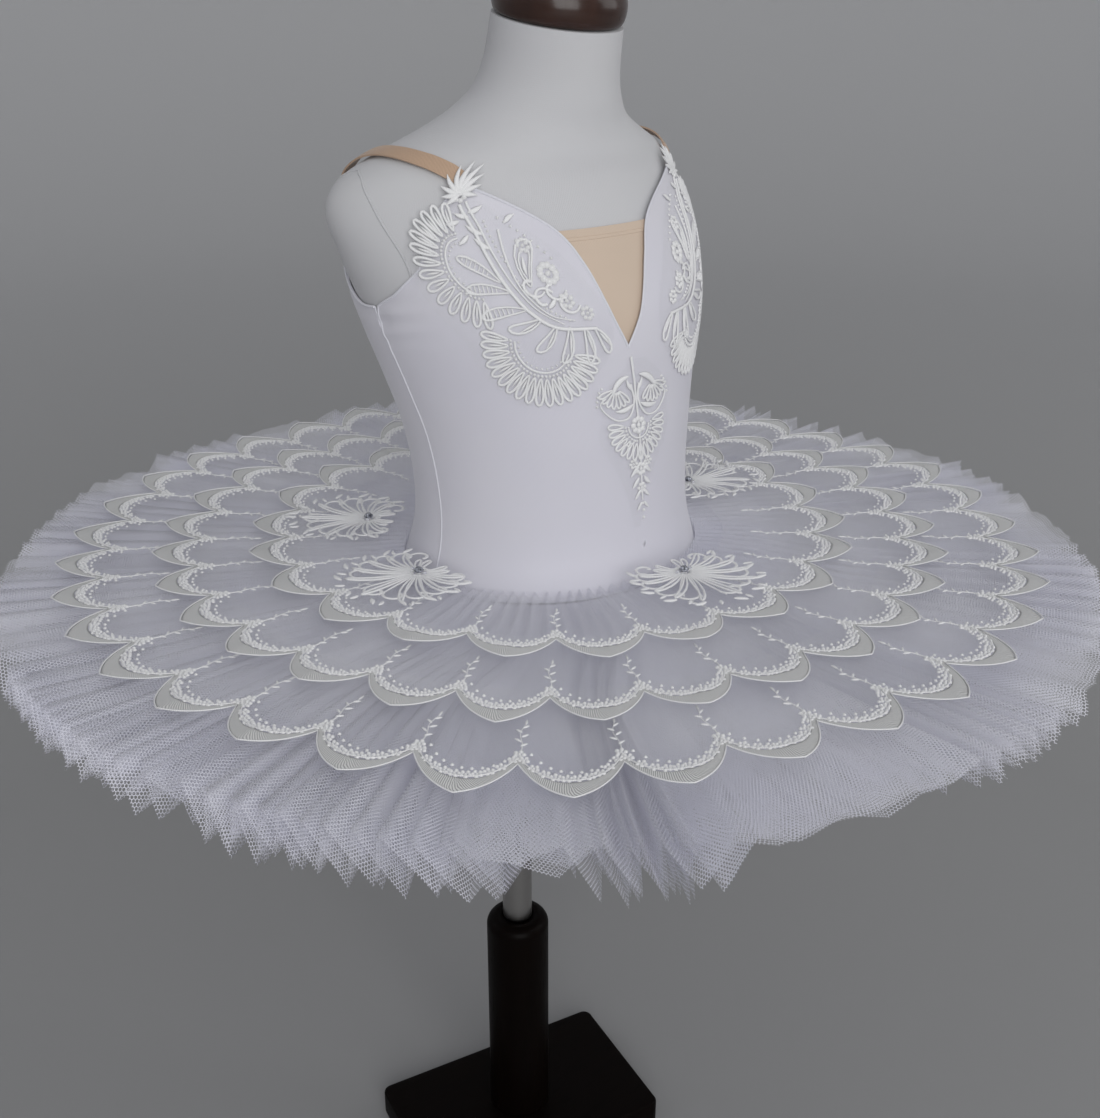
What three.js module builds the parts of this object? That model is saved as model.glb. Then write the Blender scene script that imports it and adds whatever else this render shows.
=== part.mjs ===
// A child's pancake ballet tutu on a limbless dress form with a wooden stand.
// Millimetres, +Z up. The form faces -Y, so the wearer's left is +X.
import * as THREE from 'three';

// ---- Driving dimensions -------------------------------------------------

const WAIST_HEIGHT = 525;

const BASE = { length: 194, width: 120, thickness: 22, corner: 7, edge: 2, turn: -14 };
const COLUMN = { radius: 23.5, height: 183, edge: 8 };
const POLE = { radius: 11, setBack: 37 };
const NECK_CAP = { radius: 37.5, beadHeight: 18, coveRadius: 28, height: 46 };

// Gap kept between neighbouring pieces, and the side length that a curved piece is faceted to.
const GAP = 0.3;
const ROUND_SEGMENTS = 32;

// Walls laid over the torso, as distances from its skin to their inner and outer faces.
const INSERT_WALL = { inner: 0.5, outer: 1.5 };
const BODICE_WALL = { inner: 2.3, outer: 3.5 };
const STRAP_WALL = { inner: 2.1, outer: 3.3 };
const APPLIQUE_WALL = { inner: 4.3, outer: 5.4 };

const BODICE = { bottom: -2, sideSeam: 88, vPoint: 143 };
const INSERT = { bottom: 136, top: 205, tuck: 4 };
const STRAP_WIDTH = 9;

// Neckline and armhole of the bodice front, as angles from the front at each height.
const FRONT_EDGES = [
  { height: 143, neckline: 0, armhole: 88 },
  { height: 158, neckline: 4.5, armhole: 88 },
  { height: 167, neckline: 6.5, armhole: 86 },
  { height: 175, neckline: 8, armhole: 74 },
  { height: 188, neckline: 10.5, armhole: 61 },
  { height: 204, neckline: 15, armhole: 52.5 },
  { height: 215, neckline: 22, armhole: 48.5 },
  { height: 223, neckline: 30, armhole: 45.5 },
  { height: 228, neckline: 36.5, armhole: 43 },
];

// Top edge of the bodice back, as heights at each angle from the front.
const BACK_EDGE = [
  { height: 88, top: 166 },
  { height: 100, top: 166 },
  { height: 112, top: 174 },
  { height: 124, top: 187 },
  { height: 134, top: 194 },
  { height: 143, top: 190 },
  { height: 152, top: 168 },
  { height: 164, top: 146 },
  { height: 180, top: 138 },
];

// Route of a shoulder strap over the torso, front to back.
const STRAP_ROUTE = [
  { angle: 43.5, height: 233 },
  { angle: 50, height: 237 },
  { angle: 62, height: 241 },
  { angle: 80, height: 243.5 },
  { angle: 100, height: 242.5 },
  { angle: 118, height: 236 },
  { angle: 128, height: 225 },
  { angle: 133, height: 210 },
  { angle: 134, height: 196.5 },
];

// Lower edge of the brief: the leg opening runs from the hip down to the gusset.
const BRIEF = { top: -3.2, sideSeam: 88 };
const LEG_EDGE = [
  { height: 0, bottom: -141 },
  { height: 16, bottom: -140 },
  { height: 30, bottom: -132 },
  { height: 48, bottom: -113 },
  { height: 68, bottom: -92 },
  { height: 88, bottom: -76 },
];

// Net skirt layers from the top one down: where each leaves the body, its rim and its pleats.
const NET_LAYERS = [
  { name: 'net_layer_1', start: 3, rimRadius: 340, rimHeight: -3, pleatDepth: 8 },
  { name: 'net_layer_2', start: -6, rimRadius: 334, rimHeight: -12, pleatDepth: 8 },
  { name: 'net_layer_3', start: -15, rimRadius: 324, rimHeight: -21, pleatDepth: 9 },
  { name: 'net_layer_4', start: -24, rimRadius: 308, rimHeight: -30, pleatDepth: 9 },
];
const NET_PLEATS = 40;
const NET_THICKNESS = 1.4;
const NET_START_CLEARANCE = 5;

// Lace edgings on the skirt: tip radius, depth of a scallop's notch, width of the edging.
const LACE_TIERS = [
  { name: 'lace_tier_outer', scallops: 36, tipRadius: 304, depth: 100, low: 6.4, high: 8.8 },
  { name: 'lace_tier_middle', scallops: 30, tipRadius: 248, depth: 95, low: 8.6, high: 11 },
  { name: 'lace_tier_inner', scallops: 22, tipRadius: 190, depth: 82, low: 11, high: 13.4 },
];
const SCALLOP_NOTCH = 30;
const LACE_THICKNESS = 1.1;

// Flowers on the skirt: angle from the front, and the fan of petals that each covers.
const FLOWER_ANGLES = [
  { name: 'front', angle: 0 },
  { name: 'side_right', angle: -83 },
  { name: 'side_left', angle: 83 },
  { name: 'back_right', angle: -131 },
  { name: 'back_left', angle: 131 },
];
const FLOWER = { centre: 116, reach: 46, innerReach: 14, height: 16, thickness: 1.2, petals: 9 };
const STONE = { radius: 3.2, height: 2.4, facets: 8 };

// Outlines of the bodice appliques: first and last angle from the front at each height.
const BREAST_APPLIQUE = [
  { height: 118, from: 28, to: 41 },
  { height: 126, from: 19, to: 47 },
  { height: 138, from: 10, to: 51 },
  { height: 152, from: 9, to: 50 },
  { height: 166, from: 10, to: 53 },
  { height: 180, from: 12.5, to: 58 },
  { height: 196, from: 15.5, to: 54.5 },
  { height: 210, from: 22, to: 49 },
  { height: 222, from: 31, to: 44.5 },
];
const CENTRE_APPLIQUE = [
  { height: 34, from: -1.5, to: 1.5 },
  { height: 50, from: -4, to: 4 },
  { height: 66, from: -8, to: 8 },
  { height: 82, from: -15, to: 15 },
  { height: 94, from: -18, to: 18 },
  { height: 104, from: -12, to: 12 },
  { height: 116, from: -16, to: 16 },
  { height: 127, from: -7, to: 7 },
  { height: 136, from: -2.5, to: 2.5 },
];

// Torso sections, heights counted from the waist: half width, half depth, how far the
// section's centre lies behind the waist's, how far its sides sweep back, and its forward tilt.
const TORSO_SECTIONS = [
  { height: -165, halfWidth: 46, halfDepth: 42, back: 30, sweep: 0, tilt: 0 },
  { height: -158, halfWidth: 66, halfDepth: 58, back: 26, sweep: 0, tilt: 0 },
  { height: -145, halfWidth: 84, halfDepth: 73, back: 20, sweep: 0, tilt: 0 },
  { height: -120, halfWidth: 99, halfDepth: 84, back: 14, sweep: 0, tilt: 0 },
  { height: -80, halfWidth: 105, halfDepth: 90, back: 9, sweep: 0, tilt: 0 },
  { height: -40, halfWidth: 103, halfDepth: 88, back: 4, sweep: 0, tilt: 0 },
  { height: -5, halfWidth: 96, halfDepth: 83, back: -1, sweep: 0, tilt: 0 },
  { height: 25, halfWidth: 88, halfDepth: 76, back: -2, sweep: 0, tilt: 0 },
  { height: 55, halfWidth: 87, halfDepth: 75, back: -1, sweep: 0, tilt: 0 },
  { height: 90, halfWidth: 91, halfDepth: 78, back: 2, sweep: 1, tilt: 0 },
  { height: 120, halfWidth: 99, halfDepth: 81, back: 6, sweep: 3, tilt: 0 },
  { height: 145, halfWidth: 107, halfDepth: 83, back: 8, sweep: 6, tilt: 0 },
  { height: 165, halfWidth: 113, halfDepth: 81, back: 9, sweep: 10, tilt: 0 },
  { height: 190, halfWidth: 121, halfDepth: 73, back: 12, sweep: 15, tilt: 0 },
  { height: 214, halfWidth: 125, halfDepth: 62, back: 16, sweep: 20, tilt: 0 },
  { height: 230, halfWidth: 117, halfDepth: 56, back: 16, sweep: 19, tilt: 0 },
  { height: 243, halfWidth: 96, halfDepth: 52, back: 13, sweep: 13, tilt: 1 },
  { height: 253, halfWidth: 73, halfDepth: 48, back: 10, sweep: 7, tilt: 3 },
  { height: 262, halfWidth: 55, halfDepth: 45, back: 7, sweep: 3, tilt: 5 },
  { height: 272, halfWidth: 44, halfDepth: 42, back: 3, sweep: 0, tilt: 7 },
  { height: 286, halfWidth: 38.5, halfDepth: 39, back: -1, sweep: 0, tilt: 9 },
  { height: 311, halfWidth: 36.5, halfDepth: 37, back: -6, sweep: 0, tilt: 10.6 },
];

// ---- Working surface: the torso as a function of angle and height ---------

function degrees(angle) {
  return (angle * Math.PI) / 180;
}

// Smooth value of one column of a table of sections at a height.
function sectionValue(table, height, column) {
  const last = table.length - 1;
  let low = 0;
  while (low < last - 1 && height > table[low + 1].height) {
    low += 1;
  }
  const before = table[Math.max(low - 1, 0)];
  const start = table[low];
  const end = table[low + 1];
  const after = table[Math.min(low + 2, last)];
  const span = end.height - start.height;
  const along = (height - start.height) / span;
  const slope = (from, to) => (to[column] - from[column]) / (to.height - from.height);
  const slopeIn = slope(before, end) * span;
  const slopeOut = slope(start, after) * span;
  const square = along * along;
  const cube = square * along;
  return (
    (2 * cube - 3 * square + 1) * start[column] +
    (cube - 2 * square + along) * slopeIn +
    (3 * square - 2 * cube) * end[column] +
    (cube - square) * slopeOut
  );
}

// A point of the torso: angle 0 is the front, and positive angles turn to the wearer's left.
function torsoSkin(angle, height) {
  const turn = degrees(angle);
  const halfWidth = sectionValue(TORSO_SECTIONS, height, 'halfWidth');
  const halfDepth = sectionValue(TORSO_SECTIONS, height, 'halfDepth');
  const back = sectionValue(TORSO_SECTIONS, height, 'back');
  const tilt = degrees(sectionValue(TORSO_SECTIONS, height, 'tilt'));
  const sweep = sectionValue(TORSO_SECTIONS, height, 'sweep') * Math.sin(turn) ** 2;
  const depth = sweep - halfDepth * Math.cos(turn);
  return new THREE.Vector3(
    halfWidth * Math.sin(turn),
    back + depth * Math.cos(tilt),
    height + depth * Math.sin(tilt),
  );
}

// The same point moved out from the torso along its normal.
function torsoPoint(angle, height, offset) {
  const step = 0.5;
  const across = torsoSkin(angle + step, height).sub(torsoSkin(angle - step, height));
  const up = torsoSkin(angle, height + step).sub(torsoSkin(angle, height - step));
  const normal = across.cross(up).normalize();
  return torsoSkin(angle, height).addScaledVector(normal, offset);
}

// ---- Closed solids --------------------------------------------------------

function solidGeometry(points, faces) {
  const geometry = new THREE.BufferGeometry();
  const positions = points.flatMap((point) => [point.x, point.y, point.z]);
  geometry.setAttribute('position', new THREE.Float32BufferAttribute(positions, 3));
  geometry.setIndex(faces.flat());
  geometry.computeVertexNormals();
  return geometry;
}

// Triangles of a grid of points held row by row; a closed grid joins its last column to its first.
function gridFaces(rowCount, columnCount, closed) {
  const faces = [];
  const spans = closed ? columnCount : columnCount - 1;
  for (let row = 0; row < rowCount - 1; row += 1) {
    for (let column = 0; column < spans; column += 1) {
      const next = (column + 1) % columnCount;
      const lowLeft = row * columnCount + column;
      const lowRight = row * columnCount + next;
      const highLeft = lowLeft + columnCount;
      const highRight = lowRight + columnCount;
      faces.push([lowLeft, lowRight, highRight], [lowLeft, highRight, highLeft]);
    }
  }
  return faces;
}

// A loft of closed rings, capped at both ends by a fan to the ring's middle.
function ringLoft(rings) {
  const count = rings[0].length;
  const points = rings.flat();
  const faces = gridFaces(rings.length, count, true);
  const middle = (ring) => {
    const sum = new THREE.Vector3();
    ring.forEach((point) => sum.add(point));
    return sum.divideScalar(ring.length);
  };
  const bottom = points.push(middle(rings[0])) - 1;
  const top = points.push(middle(rings[rings.length - 1])) - 1;
  const topStart = (rings.length - 1) * count;
  for (let column = 0; column < count; column += 1) {
    const next = (column + 1) % count;
    faces.push([bottom, next, column]);
    faces.push([top, topStart + column, topStart + next]);
  }
  return solidGeometry(points, faces);
}

// A cloth wall: the same patch of triangles on an inner and an outer face, closed along its
// free edges. The faces turn anticlockwise as seen from outside.
function wallGeometry(innerPoints, outerPoints, faces) {
  const count = outerPoints.length;
  const solidFaces = [];
  const directed = new Set();
  for (const [first, second, third] of faces) {
    solidFaces.push([first, second, third]);
    solidFaces.push([count + first, count + third, count + second]);
    directed.add(`${first},${second}`);
    directed.add(`${second},${third}`);
    directed.add(`${third},${first}`);
  }
  for (const edge of directed) {
    const [start, end] = edge.split(',').map(Number);
    if (!directed.has(`${end},${start}`)) {
      solidFaces.push([end, start, count + start]);
      solidFaces.push([end, count + start, count + end]);
    }
  }
  return solidGeometry([...outerPoints, ...innerPoints], solidFaces);
}

// A wall over the torso from a grid of (angle, height) places, row by row from low to high.
function torsoWall(places, faces, wall) {
  const inner = places.map((place) => torsoPoint(place.angle, place.height, wall.inner));
  const outer = places.map((place) => torsoPoint(place.angle, place.height, wall.outer));
  return wallGeometry(inner, outer, faces);
}

// Value of one column of a table at a height, on straight lines between its rows.
function tableValue(table, height, column) {
  const last = table.length - 1;
  let low = 0;
  while (low < last - 1 && height > table[low + 1].height) {
    low += 1;
  }
  const start = table[low];
  const end = table[low + 1];
  const along = THREE.MathUtils.clamp((height - start.height) / (end.height - start.height), 0, 1);
  return start[column] + (end[column] - start[column]) * along;
}

function evenSteps(start, end, steps) {
  return Array.from({ length: steps + 1 }, (_, step) => start + ((end - start) * step) / steps);
}

// ---- Materials -------------------------------------------------------------

const MATERIALS = {
  formCloth: { color: 0xe9e9ec, roughness: 0.85, metalness: 0 },
  darkWood: { color: 0x2b1c17, roughness: 0.35, metalness: 0 },
  steel: { color: 0xb9b9b6, roughness: 0.3, metalness: 1 },
  bodiceCloth: { color: 0xdedded, roughness: 0.6, metalness: 0 },
  nudeCloth: { color: 0xd9c4ad, roughness: 0.7, metalness: 0 },
  net: { color: 0xe4e4f0, roughness: 0.8, metalness: 0 },
  lace: { color: 0xf4f3f2, roughness: 0.5, metalness: 0 },
  crystal: { color: 0x5a5f66, roughness: 0.1, metalness: 0.2 },
};

function namedMesh(name, geometry, material) {
  const mesh = new THREE.Mesh(geometry, new THREE.MeshStandardMaterial(MATERIALS[material]));
  mesh.name = name;
  return mesh;
}

// ---- Dress form and stand ---------------------------------------------------

function formTorso() {
  const segments = 40;
  const longestStep = 20;
  const rings = [];
  for (let row = 0; row < TORSO_SECTIONS.length - 1; row += 1) {
    const start = TORSO_SECTIONS[row].height;
    const end = TORSO_SECTIONS[row + 1].height;
    const steps = end - start > longestStep ? 2 : 1;
    const heights = evenSteps(start, end, steps);
    const isLast = row === TORSO_SECTIONS.length - 2;
    for (const height of isLast ? heights : heights.slice(0, -1)) {
      const angles = evenSteps(0, 360, segments).slice(0, -1);
      rings.push(angles.map((angle) => torsoSkin(angle, height)));
    }
  }
  return namedMesh('form_torso', ringLoft(rings), 'formCloth');
}

function neckCap() {
  const { radius, beadHeight, coveRadius, height } = NECK_CAP;
  const footRadius = radius - 4;
  const beadMiddle = beadHeight / 2;
  const profile = [new THREE.Vector2(0, 0), new THREE.Vector2(footRadius, 0)];
  for (const turn of evenSteps(-60, 60, 6)) {
    const bulge = (radius - footRadius) * Math.cos(degrees(turn));
    profile.push(new THREE.Vector2(footRadius + bulge, beadMiddle + beadMiddle * Math.sin(degrees(turn))));
  }
  const domeFoot = beadHeight + 8;
  profile.push(new THREE.Vector2(coveRadius, beadHeight + 3));
  profile.push(new THREE.Vector2(coveRadius, domeFoot));
  for (const turn of evenSteps(15, 75, 4)) {
    const x = coveRadius * Math.cos(degrees(turn));
    profile.push(new THREE.Vector2(x, domeFoot + (height - domeFoot) * Math.sin(degrees(turn))));
  }
  profile.push(new THREE.Vector2(0, height));
  const geometry = new THREE.LatheGeometry(profile, ROUND_SEGMENTS);
  geometry.rotateX(Math.PI / 2);
  const neck = TORSO_SECTIONS[TORSO_SECTIONS.length - 1];
  const tilt = degrees(neck.tilt);
  const cap = namedMesh('neck_cap', geometry, 'darkWood');
  cap.rotation.x = tilt;
  cap.position.set(0, neck.back - GAP * Math.sin(tilt), neck.height + GAP * Math.cos(tilt));
  return cap;
}

function pole() {
  const foot = COLUMN.height + BASE.thickness - WAIST_HEIGHT + 2 * GAP;
  const top = TORSO_SECTIONS[0].height - GAP;
  const geometry = new THREE.CylinderGeometry(POLE.radius, POLE.radius, top - foot, ROUND_SEGMENTS);
  geometry.rotateX(Math.PI / 2);
  const mesh = namedMesh('pole', geometry, 'steel');
  mesh.position.set(0, POLE.setBack, (top + foot) / 2);
  return mesh;
}

function column() {
  const { radius, height, edge } = COLUMN;
  const profile = [new THREE.Vector2(0, 0), new THREE.Vector2(radius, 0)];
  for (const turn of evenSteps(0, 90, 4)) {
    const x = radius - edge + edge * Math.cos(degrees(turn));
    profile.push(new THREE.Vector2(x, height - edge + edge * Math.sin(degrees(turn))));
  }
  profile.push(new THREE.Vector2(0, height - GAP));
  const geometry = new THREE.LatheGeometry(profile, ROUND_SEGMENTS);
  geometry.rotateX(Math.PI / 2);
  const mesh = namedMesh('column', geometry, 'darkWood');
  mesh.position.set(0, POLE.setBack, BASE.thickness - WAIST_HEIGHT + GAP);
  return mesh;
}

function basePlate() {
  const { length, width, thickness, corner, edge, turn } = BASE;
  const x = length / 2 - edge;
  const y = width / 2 - edge;
  const outline = new THREE.Shape();
  outline.moveTo(-x + corner, -y);
  outline.lineTo(x - corner, -y);
  outline.absarc(x - corner, -y + corner, corner, -Math.PI / 2, 0);
  outline.absarc(x - corner, y - corner, corner, 0, Math.PI / 2);
  outline.absarc(-x + corner, y - corner, corner, Math.PI / 2, Math.PI);
  outline.absarc(-x + corner, -y + corner, corner, Math.PI, 1.5 * Math.PI);
  const geometry = new THREE.ExtrudeGeometry(outline, {
    depth: thickness - 2 * edge,
    bevelEnabled: true,
    bevelThickness: edge,
    bevelSize: edge,
    bevelSegments: 2,
    curveSegments: 4,
  });
  const mesh = namedMesh('base_plate', geometry, 'darkWood');
  mesh.rotation.z = degrees(turn);
  mesh.position.set(0, POLE.setBack, edge - WAIST_HEIGHT);
  return mesh;
}

// ---- Bodice, insert, straps and brief ------------------------------------------

// One panel in two halves that share the centre line below the V and part above it.
function bodiceFront() {
  const columns = 9;
  const lowHeights = evenSteps(BODICE.bottom, BODICE.vPoint, 6).slice(0, -1);
  const heights = [...lowHeights, ...FRONT_EDGES.map((row) => row.height)];
  const vRow = lowHeights.length;
  const places = [];
  const faces = [];
  const centreLine = new Map();
  const addPlace = (row, side, across) => {
    const height = heights[row];
    const neckline = tableValue(FRONT_EDGES, height, 'neckline');
    const armhole = tableValue(FRONT_EDGES, height, 'armhole');
    if (across === 0 && row <= vRow && centreLine.has(row)) {
      return centreLine.get(row);
    }
    const angle = side * (neckline + ((armhole - neckline) * across) / columns);
    const index = places.push({ angle, height }) - 1;
    if (across === 0 && row <= vRow) {
      centreLine.set(row, index);
    }
    return index;
  };
  for (const side of [-1, 1]) {
    const grid = heights.map((_, row) =>
      evenSteps(0, columns, columns).map((across) => addPlace(row, side, across)),
    );
    for (const [first, second, third] of gridFaces(heights.length, columns + 1, false)) {
      const corner = (index) => grid[Math.floor(index / (columns + 1))][index % (columns + 1)];
      const face = [corner(first), corner(second), corner(third)];
      faces.push(side > 0 ? face : face.reverse());
    }
  }
  return namedMesh('bodice_front', torsoWall(places, faces, BODICE_WALL), 'bodiceCloth');
}

function bodiceBack() {
  const columns = 16;
  const rows = 7;
  const seamGap = 0.4;
  const start = BODICE.sideSeam + seamGap;
  const places = [];
  for (const rise of evenSteps(0, 1, rows)) {
    for (const angle of evenSteps(start, 360 - start, columns)) {
      const top = tableValue(BACK_EDGE, angle > 180 ? 360 - angle : angle, 'top');
      places.push({ angle, height: BODICE.bottom + (top - BODICE.bottom) * rise });
    }
  }
  const faces = gridFaces(rows + 1, columns + 1, false);
  return namedMesh('bodice_back', torsoWall(places, faces, BODICE_WALL), 'bodiceCloth');
}

function vInsert() {
  const columns = 6;
  const places = [];
  const heights = evenSteps(INSERT.bottom, INSERT.top, 8);
  for (const height of heights) {
    const reach = tableValue(FRONT_EDGES, height, 'neckline') + INSERT.tuck;
    for (const angle of evenSteps(-reach, reach, columns)) {
      places.push({ angle, height });
    }
  }
  const faces = gridFaces(heights.length, columns + 1, false);
  return namedMesh('v_insert', torsoWall(places, faces, INSERT_WALL), 'nudeCloth');
}

// A flat ribbon of even width along a route over the torso.
function strap(name, side) {
  const route = new THREE.CatmullRomCurve3(
    STRAP_ROUTE.map((place) => new THREE.Vector3(side * place.angle, place.height, 0)),
  );
  const steps = 18;
  const along = evenSteps(0, 1, steps).map((share) => route.getPoint(share));
  const middle = along.map((place) => torsoPoint(place.x, place.y, 0));
  const inner = [];
  const outer = [];
  middle.forEach((point, index) => {
    const before = middle[Math.max(index - 1, 0)];
    const after = middle[Math.min(index + 1, steps)];
    const forward = after.clone().sub(before).normalize();
    const place = along[index];
    const normal = torsoPoint(place.x, place.y, 1).sub(point).normalize();
    const sideways = normal.clone().cross(forward).normalize();
    for (const edge of [-STRAP_WIDTH / 2, STRAP_WIDTH / 2]) {
      const foot = point.clone().addScaledVector(sideways, edge);
      inner.push(foot.clone().addScaledVector(normal, STRAP_WALL.inner));
      outer.push(foot.clone().addScaledVector(normal, STRAP_WALL.outer));
    }
  });
  const faces = gridFaces(steps + 1, 2, false).map((face) => face.reverse());
  return namedMesh(name, wallGeometry(inner, outer, faces), 'nudeCloth');
}

function briefPanel(name, middleAngle) {
  const columns = 12;
  const rows = 9;
  const seamGap = 0.4;
  const reach = BRIEF.sideSeam - (middleAngle === 0 ? 0 : 2 * BRIEF.sideSeam - 180 + seamGap);
  const places = [];
  for (const rise of evenSteps(0, 1, rows)) {
    for (const turn of evenSteps(-reach, reach, columns)) {
      const bottom = tableValue(LEG_EDGE, Math.abs(turn), 'bottom');
      places.push({ angle: middleAngle + turn, height: bottom + (BRIEF.top - bottom) * rise });
    }
  }
  const faces = gridFaces(rows + 1, columns + 1, false);
  return namedMesh(name, torsoWall(places, faces, BODICE_WALL), 'bodiceCloth');
}

// ---- Skirt -----------------------------------------------------------------------

// A place on a skirt: the way from the body's own outline to a round rim.
function skirtPlace(angle, share, startHeight, rimRadius) {
  const start = torsoPoint(angle, startHeight, NET_START_CLEARANCE);
  const turn = Math.atan2(start.x, -start.y);
  const rim = new THREE.Vector3(rimRadius * Math.sin(turn), -rimRadius * Math.cos(turn), 0);
  return new THREE.Vector2(start.x + (rim.x - start.x) * share, start.y + (rim.y - start.y) * share);
}

// A ring of cloth round the body. The surface gives each place's height from its angle's step
// and its share of the way to the rim.
function skirtRing(name, material, thickness, steps, shares, place) {
  const inner = [];
  const outer = [];
  for (const share of shares) {
    for (let step = 0; step < steps; step += 1) {
      const middle = place((360 * step) / steps, share, step);
      inner.push(middle.clone().add(new THREE.Vector3(0, 0, -thickness / 2)));
      outer.push(middle.clone().add(new THREE.Vector3(0, 0, thickness / 2)));
    }
  }
  const faces = gridFaces(shares.length, steps, true).map((face) => face.reverse());
  return namedMesh(name, wallGeometry(inner, outer, faces), material);
}

function netLayer(layer) {
  const place = (angle, share, step) => {
    const flat = skirtPlace(angle, share, layer.start, layer.rimRadius);
    const pleat = (step % 2 === 0 ? 1 : -1) * layer.pleatDepth * share;
    const height = layer.start + (layer.rimHeight - layer.start) * share + pleat;
    return new THREE.Vector3(flat.x, flat.y, height);
  };
  return skirtRing(layer.name, 'net', NET_THICKNESS, 2 * NET_PLEATS, [0, 0.5, 1], place);
}

// Four steps make a scallop: a notch, a shoulder, the tip and a shoulder.
function laceTier(tier) {
  const notches = [SCALLOP_NOTCH, 9, 0, 9];
  const place = (angle, share, step) => {
    const turn = degrees(angle);
    const rim = tier.tipRadius - notches[step % notches.length];
    const start = tier.tipRadius - tier.depth;
    const radius = start + (rim - start) * share;
    const climb = (radius - start) / tier.depth;
    const height = tier.low + (tier.high - tier.low) * climb;
    return new THREE.Vector3(radius * Math.sin(turn), -radius * Math.cos(turn), height);
  };
  const steps = notches.length * tier.scallops;
  return skirtRing(tier.name, 'lace', LACE_THICKNESS, steps, [0, 1], place);
}

// A fan of petals lying on the skirt, long towards the rim and short towards the body.
function skirtFlower({ name, angle }) {
  const steps = 2 * FLOWER.petals;
  const inner = [];
  const outer = [];
  const addPoint = (x, y) => {
    inner.push(new THREE.Vector3(x, y, FLOWER.height - FLOWER.thickness / 2));
    outer.push(new THREE.Vector3(x, y, FLOWER.height + FLOWER.thickness / 2));
  };
  addPoint(0, 0);
  for (let step = 0; step < steps; step += 1) {
    const turn = (2 * Math.PI * step) / steps;
    const outward = (1 + Math.cos(turn)) / 2;
    const reach = FLOWER.innerReach + (FLOWER.reach - FLOWER.innerReach) * outward ** 0.6;
    const length = step % 2 === 0 ? reach : 0.84 * reach;
    addPoint(length * Math.sin(turn), -length * Math.cos(turn));
  }
  const faces = [];
  for (let step = 0; step < steps; step += 1) {
    faces.push([0, 1 + step, 1 + ((step + 1) % steps)]);
  }
  const mesh = namedMesh(`skirt_flower_${name}`, wallGeometry(inner, outer, faces), 'lace');
  return placeOnSkirt(mesh, angle);
}

function flowerStone({ name, angle }) {
  const { radius, height, facets } = STONE;
  const profile = [
    new THREE.Vector2(0, 0),
    new THREE.Vector2(radius, 0),
    new THREE.Vector2(radius, height / 3),
    new THREE.Vector2(radius * 0.55, height),
    new THREE.Vector2(0, height),
  ];
  const geometry = new THREE.LatheGeometry(profile, facets);
  geometry.rotateX(Math.PI / 2);
  geometry.translate(0, 0, FLOWER.height + FLOWER.thickness / 2 + GAP);
  return placeOnSkirt(namedMesh(`flower_stone_${name}`, geometry, 'crystal'), angle);
}

function placeOnSkirt(mesh, angle) {
  mesh.rotation.z = degrees(angle);
  mesh.position.set(FLOWER.centre * Math.sin(degrees(angle)), -FLOWER.centre * Math.cos(degrees(angle)), 0);
  return mesh;
}

// ---- Bodice appliques ----------------------------------------------------------

function applique(name, outline, side) {
  const columns = 5;
  const places = [];
  for (const { height, from, to } of outline) {
    for (const angle of evenSteps(from, to, columns)) {
      places.push({ angle: side * angle, height });
    }
  }
  const grid = gridFaces(outline.length, columns + 1, false);
  const faces = side > 0 ? grid : grid.map((face) => face.reverse());
  return namedMesh(name, torsoWall(places, faces, APPLIQUE_WALL), 'lace');
}

// ---- The whole object ------------------------------------------------------------

const group = new THREE.Group();
group.add(basePlate(), column(), pole(), formTorso(), neckCap());
group.add(bodiceFront(), bodiceBack(), vInsert());
group.add(strap('strap_right', -1), strap('strap_left', 1));
group.add(briefPanel('brief_front', 0), briefPanel('brief_back', 180));
group.add(...NET_LAYERS.map(netLayer));
group.add(...LACE_TIERS.map(laceTier));
group.add(...FLOWER_ANGLES.map(skirtFlower));
group.add(...FLOWER_ANGLES.map(flowerStone));
group.add(applique('applique_right', BREAST_APPLIQUE, -1));
group.add(applique('applique_left', BREAST_APPLIQUE, 1));
group.add(applique('applique_centre', CENTRE_APPLIQUE, 1));

// The origin is the middle of the whole object's outline, on the surface that it stands on.
const extent = new THREE.Box3().setFromObject(group);
const middle = extent.getCenter(new THREE.Vector3());
group.position.set(-middle.x, -middle.y, -extent.min.z);

export default group;
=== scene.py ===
"""A child's pancake tutu on a limbless dress form: smooth form, corded lace and pleated net.

The tables are in millimetres, with heights counted from the waist, and repeat the part's own
drawing. Meshes are made in metres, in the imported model's frame. Angles turn round the body from
the front, and are positive towards the wearer's left.
"""

import sys
import logging
import math
from collections.abc import Callable, Sequence
from dataclasses import dataclass, field
from enum import Enum

import bpy
import numpy as np
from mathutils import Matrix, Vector


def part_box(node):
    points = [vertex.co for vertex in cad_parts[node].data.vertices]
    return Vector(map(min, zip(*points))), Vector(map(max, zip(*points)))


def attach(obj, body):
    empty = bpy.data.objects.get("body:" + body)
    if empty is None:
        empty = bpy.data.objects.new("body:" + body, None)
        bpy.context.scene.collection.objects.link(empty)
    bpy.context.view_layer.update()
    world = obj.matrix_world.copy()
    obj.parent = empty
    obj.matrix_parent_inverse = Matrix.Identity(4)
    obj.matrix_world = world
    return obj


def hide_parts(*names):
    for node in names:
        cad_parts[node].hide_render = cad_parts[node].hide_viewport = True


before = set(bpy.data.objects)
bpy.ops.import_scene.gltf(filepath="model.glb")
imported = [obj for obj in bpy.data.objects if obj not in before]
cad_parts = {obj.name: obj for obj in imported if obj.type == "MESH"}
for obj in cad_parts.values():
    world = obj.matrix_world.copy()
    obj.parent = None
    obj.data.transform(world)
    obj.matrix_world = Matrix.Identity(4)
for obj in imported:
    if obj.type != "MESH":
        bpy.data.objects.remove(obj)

LOG = logging.getLogger("tutu")
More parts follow.
